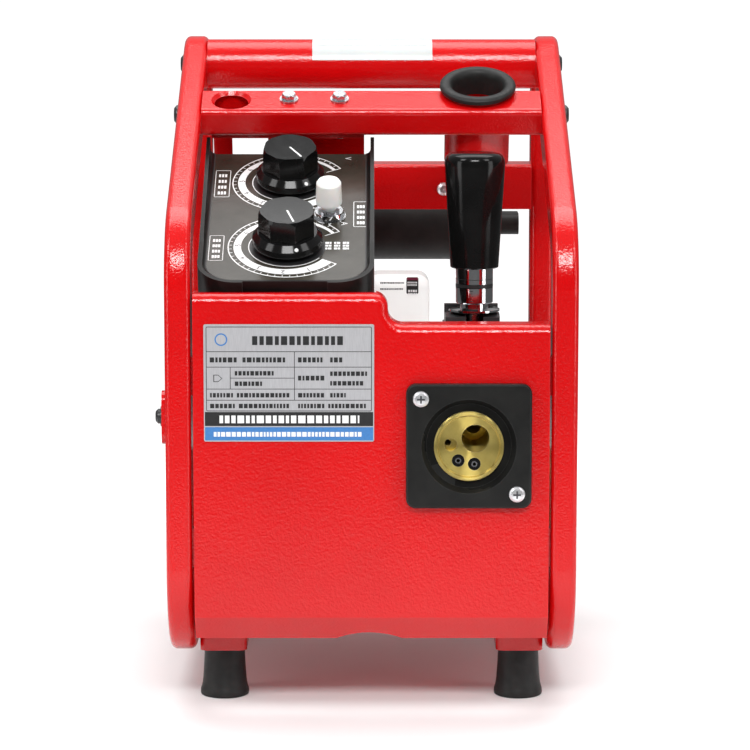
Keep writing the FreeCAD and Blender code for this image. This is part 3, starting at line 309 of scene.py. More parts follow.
def white_plastic(name="plastic_white", tint=(0.83, 0.83, 0.80)):
    s = Shader(name)
    pale = tuple(min(1.0, c * 1.08) for c in tint)
    s.colour(s.noise(50, 3), "Fac", [(0.3, tint), (0.7, pale)])
    s.roughness(s.noise(300, 3), "Fac", 0.25, 0.38)
    s.bump(s.noise(1800, 2), "Fac", 0.08, 0.00008)
    s.set(Subsurface_Weight=0.15, Subsurface_Scale=0.004)
    return s.material


def clear_plastic():
    """Milky translucent moulding; its faint white emission is a painted glow."""
    s = Shader("plastic_clear")
    s.colour(s.noise(40, 3), "Fac", [(0.3, (0.95, 0.95, 0.94)), (0.7, (1.0, 1.0, 0.99))])
    s.roughness(s.noise(200, 3), "Fac", 0.16, 0.26)
    s.bump(s.noise(500, 2), "Fac", 0.06, 0.0002)
    # the white emission is a painted glow on the case
    s.set(Transmission_Weight=0.25, IOR=1.3, Emission_Color=(1, 1, 0.99, 1), Emission_Strength=0.17)
    return s.material


def print_ink(name, colour):
    """Screen-printed ink, a little uneven."""
    s = Shader(name)
    dim = tuple(c * 0.86 for c in colour)
    s.colour(s.noise(700, 4), "Fac", [(0.25, dim), (0.6, colour)])
    s.roughness(s.noise(900, 2), "Fac", 0.35, 0.55)
    s.bump(s.noise(2500, 2), "Fac", 0.15, 0.00003)
    return s.material


def label_silver():
    s = Shader("label_silver")
    s.set(Metallic=0.35)
    s.colour(s.noise(220, 4, 0.6, (14, 1, 1)), "Fac", [(0.3, (0.47, 0.47, 0.49)), (0.7, (0.56, 0.56, 0.58))])
    s.roughness(s.noise(300, 3, 0.5, (14, 1, 1)), "Fac", 0.30, 0.42)
    s.bump(s.noise(900, 2, 0.5, (10, 1, 1)), "Fac", 0.05, 0.00004)
    return s.material


MATERIALS = {
    "red_paint": red_paint(),
    "zinc_steel": metal("zinc_steel", (0.42, 0.43, 0.45), (0.66, 0.67, 0.70), 0.20, 0.36),
    "black_steel": painted("black_steel", (0.018, 0.018, 0.019), (0.035, 0.035, 0.037), 0.36),
    "rubber_black": rubber(),
    "plastic_black": gloss_black(),
    "plastic_satin": satin_black(),
    "label_silver": label_silver(),
    "label_white": white_plastic("label_white", (0.80, 0.80, 0.80)),
    "brass_yellow": brass(),
    "chrome_bright": metal("chrome_bright", (0.60, 0.61, 0.63), (0.80, 0.81, 0.83), 0.05, 0.13, 700, 0.04),
    "steel_hard": metal("steel_hard", (0.30, 0.31, 0.33), (0.52, 0.53, 0.56), 0.22, 0.38),
    "cast_alloy": metal("cast_alloy", (0.34, 0.35, 0.36), (0.54, 0.55, 0.56), 0.40, 0.58, 700, 0.45),
    "laminate_brown": laminate(),
    "motor_grey": painted("motor_grey", (0.030, 0.030, 0.034), (0.055, 0.055, 0.060), 0.38),
    "plastic_white": white_plastic(),
    "plastic_clear": clear_plastic(),
}
FACE = face_black()
SOCKET_BRASS = brass("turned_brass", SOCKET)
INK_WHITE = print_ink("ink_white", (0.86, 0.86, 0.86))
INK_BLACK = print_ink("ink_black", (0.014, 0.014, 0.015))
INK_BLUE = print_ink("ink_blue", (0.05, 0.20, 0.50))
INK_RED = print_ink("ink_red", (0.16, 0.008, 0.03))
INK_GREY = print_ink("ink_grey", (0.42, 0.42, 0.42))
SLOT_OF = {s["node"]: s["material_slot"] for s in RECORD["subparts"]}
OWN_LOOK = {
    "control_face": FACE,
    "socket_body": SOCKET_BRASS,
    "control_housing": moulded_black("rim_black", 0.24, 0.36, 0.14),
    "socket_flange": moulded_black("flange_black", 0.26, 0.36, 0.30),
    "socket_contacts": metal("contact_steel", (0.16, 0.16, 0.17), (0.34, 0.34, 0.36), 0.2, 0.3),
    "pan_screws": metal("screw_zinc", (0.72, 0.73, 0.75), (0.88, 0.88, 0.90), 0.30, 0.42, 900, 0.04),
    "handle_sticker": white_plastic("sticker_white", (0.62, 0.62, 0.61)),
}
SOFT_EDGE = {"front_panel": 0.5, "socket_flange": 0.6}
KEEP_EDGE = ("side_frame_left", "side_frame_right", "tension_spring", "voltage_knob", "current_knob",
             "inch_switch_nut")
TURNED = ("tension_handle", "tension_barrel", "tension_washer", "tension_rod", "inch_switch_body",
          "inch_button_cap", "spool_hub", "hub_latch", "torch_holder_tube", "handle_tube", "motor_body",
          "gas_inlet_nipple", "cable_terminal", "wire_guides", "drive_roller", "pressure_roller",
          "roller_thumbscrew", "socket_body")
SMOOTH_ANGLE = math.radians(32)
USUAL_EDGE = 0.25       # mm: width of the rounding on the edges of a sheet or cast piece


def smooth_by_angle(mesh):
    """Rounds the shading everywhere but across sharp edges."""
    bm = bmesh.new()
    bm.from_mesh(mesh)
    for face in bm.faces:
        face.smooth = True
    for edge in bm.edges:
        edge.smooth = edge.is_manifold and edge.calc_face_angle(0.0) < SMOOTH_ANGLE
    bm.to_mesh(mesh)
    bm.free()


def round_edges(obj, width_mm):
    mod = obj.modifiers.new("edges", "BEVEL")
    mod.width = width_mm * MM
    mod.segments = 2
    mod.limit_method = "ANGLE"
    mod.angle_limit = math.radians(40)
    mod.use_clamp_overlap = True
    mod.harden_normals = True


def smooth_turned(obj):
    """Shades a turned or moulded piece smoothly across its facets, but not across its real edges."""
    mesh = obj.data
    if "custom_normal" in mesh.attributes:
        mesh.attributes.remove(mesh.attributes["custom_normal"])
    mesh.shade_smooth()
    weld = obj.modifiers.new("weld", "WELD")
    weld.merge_threshold = 0.002 * MM
    split = obj.modifiers.new("hard_edges", "EDGE_SPLIT")
    split.split_angle = SMOOTH_ANGLE
    split.use_edge_sharp = False


def finish_cad_nodes():
    for name, obj in NODES.items():
        obj.data.materials.clear()
        obj.data.materials.append(OWN_LOOK.get(name, MATERIALS[SLOT_OF[name]]))
        if name in TURNED:
            smooth_turned(obj)
        else:
            smooth_by_angle(obj.data)
            if name not in KEEP_EDGE:
                round_edges(obj, SOFT_EDGE.get(name, USUAL_EDGE))


# ------------------------------------------------------------------ mesh building


def make_piece(name, verts, faces, material, body, smooth=True):
    mesh = bpy.data.meshes.new(name)
    mesh.from_pydata([tuple(v) for v in verts], [], faces)
    mesh.validate()
    bm = bmesh.new()
    bm.from_mesh(mesh)
    bmesh.ops.recalc_face_normals(bm, faces=bm.faces)
    bm.to_mesh(mesh)
    bm.free()
    obj = bpy.data.objects.new(name, mesh)
    bpy.context.scene.collection.objects.link(obj)
    mesh.materials.append(material)
    if smooth:
        smooth_by_angle(mesh)
    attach(obj, body)
    return obj


def prism(plane, outline, low, high):
    """Closed prism over an (a, b) outline, between two heights above the plane."""
    n = len(outline)
    verts = [plane.at(a, b, low) for a, b in outline] + [plane.at(a, b, high) for a, b in outline]
    faces = [tuple(range(n - 1, -1, -1)), tuple(range(n, 2 * n))]
    faces += [(i, (i + 1) % n, n + (i + 1) % n, n + i) for i in range(n)]
    return verts, faces


def band(plane, inner, outer, low, high):
    """Closed ring between two outlines of the same length."""
    n = len(inner)
    verts = []
    for outline, c in ((inner, low), (outer, low), (outer, high), (inner, high)):
        verts += [plane.at(a, b, c) for a, b in outline]
    faces = []
    for k in range(4):
        m = (k + 1) % 4
        faces += [(k * n + i, k * n + (i + 1) % n, m * n + (i + 1) % n, m * n + i) for i in range(n)]
    return verts, faces


def joined(parts):
    verts, faces = [], []
    for v, f in parts:
        shift = len(verts)
        verts += v
        faces += [tuple(i + shift for i in face) for face in f]
    return verts, faces


def rectangle(a0, b0, a1, b1):
    return [(a0, b0), (a1, b0), (a1, b1), (a0, b1)]


def round_rectangle(a0, b0, a1, b1, radius, steps=4):
    points = []
    for ca, cb, start in ((a1 - radius, b1 - radius, 0), (a0 + radius, b1 - radius, 90),
                          (a0 + radius, b0 + radius, 180), (a1 - radius, b0 + radius, 270)):
        for i in range(steps + 1):
            t = math.radians(start + 90 * i / steps)
            points.append((ca + radius * math.cos(t), cb + radius * math.sin(t)))
    return points


def disc(a, b, radius, steps=24):
    return [(a + radius * math.cos(2 * math.pi * i / steps), b + radius * math.sin(2 * math.pi * i / steps))
            for i in range(steps)]


def frame_line(a0, b0, a1, b1, width, radius=0.8):
    """Outlined box as inner and outer outlines."""
    outer = round_rectangle(a0, b0, a1, b1, radius)
    inner = round_rectangle(a0 + width, b0 + width, a1 - width, b1 - width, max(radius - width, 0.05))
    return inner, outer


def turned_mesh(profile, origin, axis, steps=64):
    """Closed surface of revolution from (radius, height) points in mm; the profile is a closed loop."""
    axis = Vector(axis).normalized()
    side = axis.orthogonal().normalized()
    other = axis.cross(side)
    n = len(profile)
    verts = []
    for i in range(steps):
        t = 2 * math.pi * i / steps
        spoke = side * math.cos(t) + other * math.sin(t)
        verts += [Vector(origin) + spoke * (r * MM) + axis * (h * MM) for r, h in profile]
    faces = []
    for i in range(steps):
        j = (i + 1) % steps
        for k in range(n):
            m = (k + 1) % n
            faces.append((i * n + k, i * n + m, j * n + m, j * n + k))
    return verts, faces


def text_parts(plane, body, a, b, size, turn=0.0):
    """One character or number as extruded mesh data, centred at (a, b)."""
    curve = bpy.data.curves.new("glyph", "FONT")
    curve.body = body
    curve.size = size
    curve.align_x = "CENTER"
    curve.align_y = "CENTER"
    curve.extrude = 0.04
    curve.resolution_u = 3
    temp = bpy.data.objects.new("glyph", curve)
    bpy.context.scene.collection.objects.link(temp)
    bpy.context.view_layer.update()
    mesh = temp.evaluated_get(bpy.context.evaluated_depsgraph_get()).to_mesh()
    spin = Matrix.Rotation(math.radians(turn), 3, "Z")
    verts = []
    for v in mesh.vertices:
        p = spin @ v.co
        verts.append(plane.at(a + p.x, b + p.y, 0.02 + p.z))
    faces = [tuple(p.vertices) for p in mesh.polygons]
    temp.evaluated_get(bpy.context.evaluated_depsgraph_get()).to_mesh_clear()
    bpy.data.objects.remove(temp)
    bpy.data.curves.remove(curve)
    return verts, faces


def word_bars(plane, a0, b0, a1, height, gap, lines, low=PRINT_LOW, high=PRINT_HIGH):
    """Rows of short bars that stand for printed words."""
    parts = []
    for row in range(lines):
        b = b0 - row * (height + gap)
        a = a0
        while a < a1 - 0.4:
            w = min(random.uniform(0.4, 0.95) * height, a1 - a)
            parts.append(prism(plane, rectangle(a, b, a + w, b + height), low, high))
            a += w + 0.24 * height
    return parts


# ------------------------------------------------------------------ print on the control box

DIAL_GAP = (-35.0, 30.0)      # degrees left open at the right of each dial
DIAL_LINE = (30.9, 31.5)      # inner and outer radius in mm of the thin outer line
DIAL_TICKS = (29.3, 31.0)
DIAL_CENTRE = (20.2, 20.7)
BAND_INNER = (26.6, 22.4)     # the tapered band's inner radius at its start and end
BAND_OUTER = 28.4
TICK_COUNT = 40
NUMBER_RADIUS = 26.0
KNOB_TOP = 22.0
LABEL_BOXES = ((-40.9, -16.0, -32.6, 13.4), (-41.3, -83.0, -33.5, -57.0), (34.4, -48.0, 42.2, -21.0))


def arc_strip(plane, b_shift, inner, outer, start, end):
    """Closed curved strip; inner and outer may each be a radius at the start and at the end."""
    steps = 72
    verts = []
    for i in range(steps + 1):
        t = i / steps
        angle = math.radians(start + (end - start) * t)
        r0 = inner[0] + (inner[1] - inner[0]) * t
        r1 = outer[0] + (outer[1] - outer[0]) * t
        for r, c in ((r0, PRINT_LOW), (r1, PRINT_LOW), (r1, PRINT_HIGH), (r0, PRINT_HIGH)):
            verts.append(plane.at(r * math.cos(angle), b_shift + r * math.sin(angle), c))
    faces = [(0, 1, 2, 3), tuple(4 * steps + k for k in (3, 2, 1, 0))]
    for i in range(steps):
        for k in range(4):
            m = (k + 1) % 4
            faces.append((4 * i + k, 4 * i + m, 4 * i + 4 + m, 4 * i + 4 + k))
    return verts, faces


def even_strip(plane, b_shift, radii, start, end):
    """Curved strip of one width all along."""
    return arc_strip(plane, b_shift, (radii[0], radii[0]), (radii[1], radii[1]), start, end)


def turned_text(plane, body, radius, angle, b_shift, size):
    a = radius * math.cos(math.radians(angle))
    b = b_shift + radius * math.sin(math.radians(angle))
    return text_parts(plane, body, a, b, size, angle - 90)


def dial(plane, b_shift, name):
    """White tapered scale round a knob, with ticks, thin outline and numbers."""
    start = DIAL_GAP[1]
    end = DIAL_GAP[0] + 360
    parts = [even_strip(plane, b_shift, DIAL_LINE, start, end),
             arc_strip(plane, b_shift, BAND_INNER, (BAND_OUTER, BAND_OUTER), start, end),
             even_strip(plane, b_shift, DIAL_CENTRE, start + 40, end)]
    for angle in (start, end):
        parts.append(even_strip(plane, b_shift, (BAND_INNER[1], DIAL_LINE[1]), angle - 0.5, angle + 0.5))
    for i in range(1, TICK_COUNT):
        angle = start + (end - start) * i / TICK_COUNT
        parts.append(even_strip(plane, b_shift, DIAL_TICKS, angle - 0.3, angle + 0.3))
    make_piece("dial_scale_" + name, *joined(parts), INK_WHITE, "frame", smooth=False)
    # Black disc under and round the knob, out to the dial's centre line.
    centre = prism(plane, disc(0.0, b_shift, DIAL_CENTRE[0], 64), PRINT_LOW, 0.04)
    make_piece("dial_centre_" + name, *centre, INK_BLACK, "frame", smooth=False)
    above = plane_above(plane, 0.05)
    numbers = []
    for i in range(1, 10):
        angle = end - (end - start) * i / 10
        numbers.append(turned_text(above, str(i), NUMBER_RADIUS, angle, b_shift, 4.4))
    make_piece("dial_numbers_" + name, *joined(numbers), INK_BLACK, "frame", smooth=False)


def plane_above(plane, lift):
    return Plane(plane.at(0, 0, lift), plane.across, plane.along)


def control_print():
    """Both dials, the outlined label boxes, the unit letters and a block of plain bars."""
    face = Plane(VOLTAGE, RIGHT, UPHILL)
    spacing = (CURRENT - VOLTAGE).dot(UPHILL) / MM
    dial(face, 0.0, "voltage")
    dial(face, spacing, "current")
    parts = []
    for a0, b0, a1, b1 in LABEL_BOXES:
        inner, outer = frame_line(a0, b0, a1, b1, 0.35)
        parts.append(band(face, inner, outer, PRINT_LOW, PRINT_HIGH))
        pitch = (b1 - b0 - 4.0) / 4
        for row in range(4):
            bottom = b1 - 2.0 - (row + 0.86) * pitch
            for k in range(3):
                bar = a0 + 1.9 + k * (a1 - a0 - 3.4) / 3
                block = rectangle(bar, bottom, bar + 1.15, bottom + 0.5 * pitch)
                parts.append(prism(face, block, PRINT_LOW, PRINT_HIGH))
    for a, b, glyph in ((31.0, 27.0, "V"), (29.5, -44.5, "A")):
        parts.append(text_parts(face, glyph, a, b, 5.0, -90))
    for column in range(3):
        a0 = 19.8 + 4.6 * column
        for row in range(3):
            b = -71.5 + 2.9 * row
            wide = 1.1 + 0.5 * ((row + column) % 3)
            for left, right in ((a0, a0 + wide), (a0 + wide + 0.3, a0 + 3.2)):
                parts.append(prism(face, rectangle(left, b, right, b + 1.9), PRINT_LOW, PRINT_HIGH))
    make_piece("control_face_print", *joined(parts), INK_WHITE, "frame", smooth=False)


def knob_marks(centre, degrees, body):
    """White pointer in the knob's groove and a dot on its skirt."""
    turn = math.radians(degrees)
    along = RIGHT * math.cos(turn) + UPHILL * math.sin(turn)
    top = Plane(centre, along, FACE_NORMAL.cross(along))
    line = prism(top, rectangle(0.1, -0.46, 12.4, 0.46), KNOB_TOP - 0.45, KNOB_TOP + 0.02)
    dot_axis = (along + FACE_NORMAL).normalized()
    dot_at = centre + along * (17.45 * MM) + FACE_NORMAL * (7.55 * MM)
    dome = [(0.0, -0.3), (1.05, -0.3), (1.05, 0.02), (0.75, 0.22), (0.0, 0.28)]
    parts = [line, turned_mesh(dome, dot_at, dot_axis, 20)]
    make_piece(body + "_pointer", *joined(parts), INK_WHITE, body, smooth=False)


# ------------------------------------------------------------------ rating plate


PLATE_ROWS = (46.6, 38.6, 27.2, 21.4)     # heights in mm of the table's lines
PLATE_COLUMNS = (13.5, 46.5)
PLATE_MARGIN = 1.2
PLATE_LINE = 0.32
PLATE_WORDS = (                           # left, right, bottom and height in mm of each row of bars
    (3.2, 17.0, 41.2, 2.6), (20.0, 42.0, 41.2, 2.6), (48.5, 62.0, 41.2, 2.6), (65.0, 72.0, 41.2, 2.6),
    (16.0, 36.0, 34.4, 2.3), (16.0, 30.0, 29.0, 2.3), (48.5, 62.0, 31.8, 2.5), (65.0, 84.0, 34.2, 2.3),
    (65.0, 82.0, 29.2, 2.3), (3.2, 15.0, 23.0, 2.3), (17.0, 44.0, 23.0, 2.3), (48.5, 62.0, 23.0, 2.3),
    (65.0, 73.0, 23.0, 2.3), (3.2, 16.0, 17.4, 2.3), (18.0, 44.0, 17.4, 2.3), (48.5, 62.0, 17.4, 2.3),
    (64.0, 84.0, 17.4, 2.3))
ARROW = ((5.0, 31.0), (7.4, 31.0), (9.6, 32.9), (7.4, 34.8), (5.0, 34.8))
ARROW_MIDDLE = (7.3, 32.9)


def rating_plate_print():
    """Generic table of lines and blank bars, a plain circle and arrow, a black band and a blue band."""
    low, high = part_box("rating_plate")
    width = (high.x - low.x) / MM
    height = (high.z - low.z) / MM
    face = Plane(low, RIGHT, (0, 0, 1))
    left, middle = PLATE_COLUMNS
    right = width - PLATE_MARGIN
    inner, outer = frame_line(PLATE_MARGIN, 15.8, right, height - PLATE_MARGIN, 0.35)
    black = [band(face, inner, outer, PRINT_LOW, PLATE_HIGH)]
    lines = [(PLATE_MARGIN, b, right, b + PLATE_LINE) for b in PLATE_ROWS]
    lines += [(middle, PLATE_ROWS[3], middle + PLATE_LINE, PLATE_ROWS[0]),
              (left, PLATE_ROWS[2], left + PLATE_LINE, PLATE_ROWS[1]), (left, 32.9, middle, 33.2)]
    black += [prism(face, rectangle(*line), PRINT_LOW, PLATE_HIGH) for line in lines]
    black += word_bars(face, 25.0, 50.2, 72.0, 4.6, 0, 1)
    for a0, a1, b, size in PLATE_WORDS:
        black += word_bars(face, a0, b, a1, size, 0, 1)
    mid_a, mid_b = ARROW_MIDDLE
    inside = [(mid_a + (a - mid_a) * 0.82, mid_b + (b - mid_b) * 0.82) for a, b in ARROW]
    black.append(band(face, inside, ARROW, PRINT_LOW, PLATE_HIGH))
    black.append(prism(face, rectangle(0.5, 8.1, width - 0.5, 15.4), PRINT_LOW, PLATE_HIGH))
    make_piece("rating_plate_print", *joined(black), INK_BLACK, "frame", smooth=False)
    blue = [prism(face, rectangle(0.5, 0.6, width - 0.5, 7.5), PRINT_LOW, PLATE_HIGH),
            band(face, disc(9.0, 53.0, 2.6), disc(9.0, 53.0, 3.3), PRINT_LOW, PLATE_HIGH)]
    make_piece("rating_plate_blue", *joined(blue), INK_BLUE, "frame", smooth=False)
    raised = plane_above(face, 0.05)
    pale = word_bars(raised, 8.0, 9.6, 80.0, 4.0, 0, 1)
    pale += word_bars(raised, 5.0, 2.6, 82.0, 2.4, 0, 1)
    make_piece("rating_plate_pale", *joined(pale), INK_WHITE, "frame", smooth=False)


# ------------------------------------------------------------------ soft and small pieces


def rubber_feet():
    """Four moulded feet, each with a rounded rim and a hole for its screw."""
    low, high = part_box("rubber_feet")
    radius = 13.0 * MM
    profile = [(2.7, 14), (6.3, 14), (6.5, 13.6), (6.5, 0.7), (7.1, 0), (12.1, 0), (12.8, 0.4),
               (13.0, 1.4), (12.9, 3.2), (12.4, 4.6), (12.0, 6.4), (11.7, 9), (11.4, 13), (11.1, 18),
               (10.9, 23), (10.8, 25.4), (10.5, 26.5), (9.8, 27), (2.7, 27)]
    parts = []
    for x in (low.x + radius, high.x - radius):
        for y in (low.y + radius, high.y - radius):
            parts.append(turned_mesh(profile, (x, y, low.z), (0, 0, 1)))
    feet = make_piece("rubber_feet_moulded", *joined(parts), MATERIALS["rubber_black"], "frame")
    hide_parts("rubber_feet")


def torch_grommet():
    """Rolled rubber lip round the mouth of the torch holder."""
    holder = mount("torch_holder")
    axis = Vector(holder["axis"])
    base = Vector(holder["pos_m"]) - axis * (1.0 * MM)
    lip = [(14.0, -9.0), (15.6, -9.0), (15.6, 1.5), (19.6, 1.5), (20.6, 2.0), (21.0, 3.0), (20.8, 4.2),
           (20.0, 5.1), (18.8, 5.6), (17.4, 5.6), (16.0, 5.2), (15.0, 4.3), (14.3, 2.9), (14.0, 1.2)]
    rolled = turned_mesh(lip, base, axis, 96)
    ring = make_piece("torch_holder_rubber", *rolled, MATERIALS["rubber_black"], "frame")
    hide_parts("torch_holder_grommet")


def barrel_rings():
    """Black index ring and fine engraved line on the tension barrel, with a few scale ticks."""
    base = Vector((LEVER.x, LEVER.y, 0))
    ring = [(9.4, 218.65), (10.04, 218.65), (10.04, 220.35), (9.4, 220.35)]
    fine = [(9.9, 223.0), (10.03, 223.0), (10.03, 223.3), (9.9, 223.3)]
    parts = [turned_mesh(profile, base, (0, 0, 1)) for profile in (ring, fine)]
    front = Plane((LEVER.x, LEVER.y - 9.96 * MM, 0), RIGHT, (0, 0, 1))
    for i in range(5):
        wide = 2.2 if i % 2 == 0 else 1.3
        b = 211.6 + 1.35 * i
        tick = rectangle(-wide / 2 - 2.0, b, wide / 2 - 2.0, b + 0.28)
        parts.append(prism(front, tick, -0.3, PRINT_HIGH))
    make_piece("tension_barrel_marks", *joined(parts), INK_BLACK, "tension_handle", smooth=False)


def pressure_spring():
    """Spring inside the barrel, wound as one fixed coil and parented to the tension lever's body."""
    mid_r, wire_r, pitch, turns = 6.1, 0.7, 3.4, 11
    start, seat = 221.9, 262.0      # heights of the coil's foot and of the end that stays still
    per_turn, sides = 28, 10
    verts = []
    rings = turns * per_turn + 1
    for i in range(rings):
        turn = 2 * math.pi * i / per_turn
        out = Vector((math.cos(turn), math.sin(turn), 0))
        rise = Vector((0, 0, (start + pitch * i / per_turn) * MM))
        centre = Vector((LEVER.x, LEVER.y, 0)) + out * (mid_r * MM) + rise
        for k in range(sides):
            a = 2 * math.pi * k / sides
            up = Vector((0, 0, wire_r * MM * math.sin(a)))
            verts.append(centre + out * (wire_r * MM * math.cos(a)) + up)
    faces = [tuple(range(sides)), tuple((rings - 1) * sides + k for k in reversed(range(sides)))]
    for i in range(rings - 1):
        for k in range(sides):
            m = (k + 1) % sides
            faces.append((i * sides + k, (i + 1) * sides + k, (i + 1) * sides + m, i * sides + m))
    spring = make_piece("tension_spring_wound", verts, faces, MATERIALS["steel_hard"], "tension_lever")
    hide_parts("tension_spring")
    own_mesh(spring)


def relay_details():
    """Coil and frame inside the milky case, and a label of plain bars on its front."""
    low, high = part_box("relay_case")
    mid_x = (low.x + high.x) / 2
    mid_y = (low.y + high.y) / 2
    coil = [(0, 0), (8, 0), (8, 1.5), (6.6, 2)]
    for i in range(14):
        coil += [(6.9, 2.6 + 2 * i), (6.5, 3.6 + 2 * i)]
    coil += [(8, 31), (8, 32.5), (0, 32.5)]
    wound = turned_mesh(coil, (mid_x, mid_y, low.z + 4 * MM), (0, 0, 1), 40)
    winding = make_piece("relay_coil", *wound, MATERIALS["brass_yellow"], "frame")
    plane = Plane((mid_x, mid_y, low.z), RIGHT, (0, 1, 0))
    parts = [prism(plane, round_rectangle(-15, -13.5, 15, 13.5, 2), 0.3, 4.0),
             prism(plane, round_rectangle(-12, -9, 12, 9, 1), 37.0, 39.0),
             prism(plane, rectangle(10.5, -6, 12, 6), 4.0, 37.0)]
    make_piece("relay_frame", *joined(parts), MATERIALS["motor_grey"], "frame", smooth=False)
    front = Plane((high.x, low.y, high.z), RIGHT, (0, 0, 1))
    patch = prism(front, round_rectangle(-13.2, -10.4, -6.4, -0.9, 0.9), PRINT_LOW, PRINT_HIGH)
    grey = word_bars(front, -28.0, -4.6, -14.6, 0.9, 2.6, 2)
    make_piece("relay_label_black", *joined([patch] + grey), INK_BLACK, "frame", smooth=False)
    above = plane_above(front, 0.05)
    strip = prism(above, rectangle(-13.0, -2.6, -6.6, -1.1), PRINT_LOW, 0.04)
    make_piece("relay_label_red", *strip, INK_RED, "frame", smooth=False)
    pale = word_bars(above, -12.6, -4.4, -6.8, 0.9, 0.5, 2)
    pale += word_bars(above, -12.2, -9.4, -7.2, 1.3, 0.5, 2)
    make_piece("relay_label_pale", *joined(pale), INK_WHITE, "frame", smooth=False)


def sticker_marks():
    """Faint broken line near the top of the sticker on the carrying handle."""
    low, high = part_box("handle_tube")
    s_low, s_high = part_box("handle_sticker")
    radius = (high.z - low.z) / 2 + s_high.z - high.z
    lean = math.radians(48)
    out_y = (low.y + high.y) / 2 - math.cos(lean) * radius
    out_z = (low.z + high.z) / 2 + math.sin(lean) * radius
    plane = Plane((s_low.x, out_y, out_z), RIGHT, (0, math.sin(lean), math.cos(lean)))
    parts = word_bars(plane, 3.0, 0.2, (s_high.x - s_low.x) / MM - 3.0, 0.7, 0, 1, -0.1, 0.05)
    make_piece("handle_sticker_marks", *joined(parts), INK_GREY, "frame", smooth=False)


def socket_shadow():
    """Painted shade: the recess between the brass and the flange's rim is coloured flat black, standing in
    for its deep shadow.
    """
    obj = NODES["socket_flange"]
    obj.data.materials.append(moulded_black("painted_recess_shade", 0.6, 0.75, 0.03))
    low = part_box("socket_flange")[0]
    for face in obj.data.polygons:
        points = [obj.data.vertices[i].co for i in face.vertices]
        deep = max(p.y for p in points) - low.y > 0.8 * MM
        inside = max(math.hypot(p.x - SOCKET.x, p.z - SOCKET.z) for p in points) < 27 * MM
        face.material_index = 1 if deep and inside else 0


def screw_recesses():
    """Painted shade: dark zinc on the cross recesses in the pan head screws, standing in for the shade
    inside them.
    """
    obj = NODES["pan_screws"]
    obj.data.materials.append(metal("painted_recess_shade_zinc", (0.09, 0.09, 0.10), (0.20, 0.20, 0.22), 0.35, 0.5))
    for face in obj.data.polygons:
        face.material_index = 1 if abs(face.normal.y) < 0.05 or face.normal.y < -0.999 else 0


def contact_colours():
    """The two insulators round the contact sleeves are black."""
    obj = NODES["socket_contacts"]
    obj.data.materials.append(MATERIALS["plastic_black"])
    low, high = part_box("socket_contacts")
    radius = 3.3 * MM
    axes = [(low.x + radius, high.z - radius), (high.x - radius, low.z + radius)]
    for face in obj.data.polygons:
        points = [obj.data.vertices[i].co for i in face.vertices]
        far = max(min(math.hypot(p.x - x, p.z - z) for x, z in axes) for p in points)
        face.material_index = 1 if far > 1.6 * MM else 0


# ------------------------------------------------------------------ stage


LIGHTS = (      # name, place, what it points at, width, height, watts
    ("top", (0.0, 0.25, 1.5), (0, 0, 0.2), 1.6, 0.9, 18),
    ("front", (0.0, -2.3, 1.75), (0, 0, 0.2), 1.2, 0.5, 47),
    ("left", (-1.3, -1.0, 1.6), (0, 0, 0.15), 0.6, 0.6, 9),
    ("right", (1.3, -1.1, 1.5), (0, 0, 0.15), 0.6, 0.6, 7),
    ("left_low", (-1.2, -0.75, 0.4), (0, 0, 0.4), 0.4, 0.8, 3.5),
    ("right_low", (1.2, -0.75, 0.4), (0, 0, 0.4), 0.4, 0.8, 3.5))
CAMERA_BACK = 1.6           # metres in front of the panel
CAMERA_HIGH = 0.415
CAMERA_PITCH = math.radians(81.7)
CAMERA_LENS = 151.0
CAMERA_SHIFT = 0.0048


def area_light(name, place, target, size_x, size_y, power):
    data = bpy.data.lights.new(name, "AREA")
    data.shape = "RECTANGLE"
    data.size = size_x
    data.size_y = size_y
    data.energy = power
    obj = bpy.data.objects.new(name, data)
    obj.visible_camera = False
    obj.location = place
    obj.rotation_euler = (Vector(target) - Vector(place)).to_track_quat("-Z", "Y").to_euler()
    bpy.context.scene.collection.objects.link(obj)


def pale_floor():
    """White floor that glows softly far from the machine; only reflections see it go dark there."""
    half = 40.0
    corners = [(-half, -half, 0), (half, -half, 0), (half, half, 0), (-half, half, 0)]
    mesh = bpy.data.meshes.new("floor")
    mesh.from_pydata(corners, [], [(0, 1, 2, 3)])
    floor = bpy.data.objects.new("floor", mesh)
    bpy.context.scene.collection.objects.link(floor)
    s = Shader("floor")
    grain = s.noise(3, 2)
    near = s.ramp(grain, "Fac", [(0.3, (0.88, 0.88, 0.88)), (0.7, (0.90, 0.90, 0.90))])
    s.set(Roughness=0.6, Specular_IOR_Level=0.15)
    distance = s.add("ShaderNodeVectorMath", operation="LENGTH")
    s.link(s.coords, "Object", distance, 0)
    far = s.add("ShaderNodeMapRange", interpolation_type="SMOOTHSTEP")
    far.inputs["From Min"].default_value = 0.45
    far.inputs["From Max"].default_value = 0.95
    s.link(distance, "Value", far, "Value")
    dim = s.add("ShaderNodeMix", data_type="RGBA")
    dim.inputs[7].default_value = (0.12, 0.12, 0.12, 1)
    s.link(near, "Color", dim, 6)
    s.link(far, "Result", dim, 0)
    s.link(dim, 2, s.bsdf, "Base Color")
    glow = s.add("ShaderNodeMapRange", interpolation_type="SMOOTHSTEP")
    glow.inputs["From Min"].default_value = 0.25
    glow.inputs["From Max"].default_value = 0.85
    glow.inputs["To Min"].default_value = 0.06
    glow.inputs["To Max"].default_value = 1.0
    s.link(distance, "Value", glow, "Value")
    seen = s.add("ShaderNodeLightPath")
    only_seen = s.add("ShaderNodeMath", operation="MULTIPLY")
    s.link(glow, "Result", only_seen, 0)
    s.link(seen, "Is Camera Ray", only_seen, 1)
    s.link(only_seen, "Value", s.bsdf, "Emission Strength")
    s.set(Emission_Color=(1, 1, 1, 1))
    mesh.materials.append(s.material)


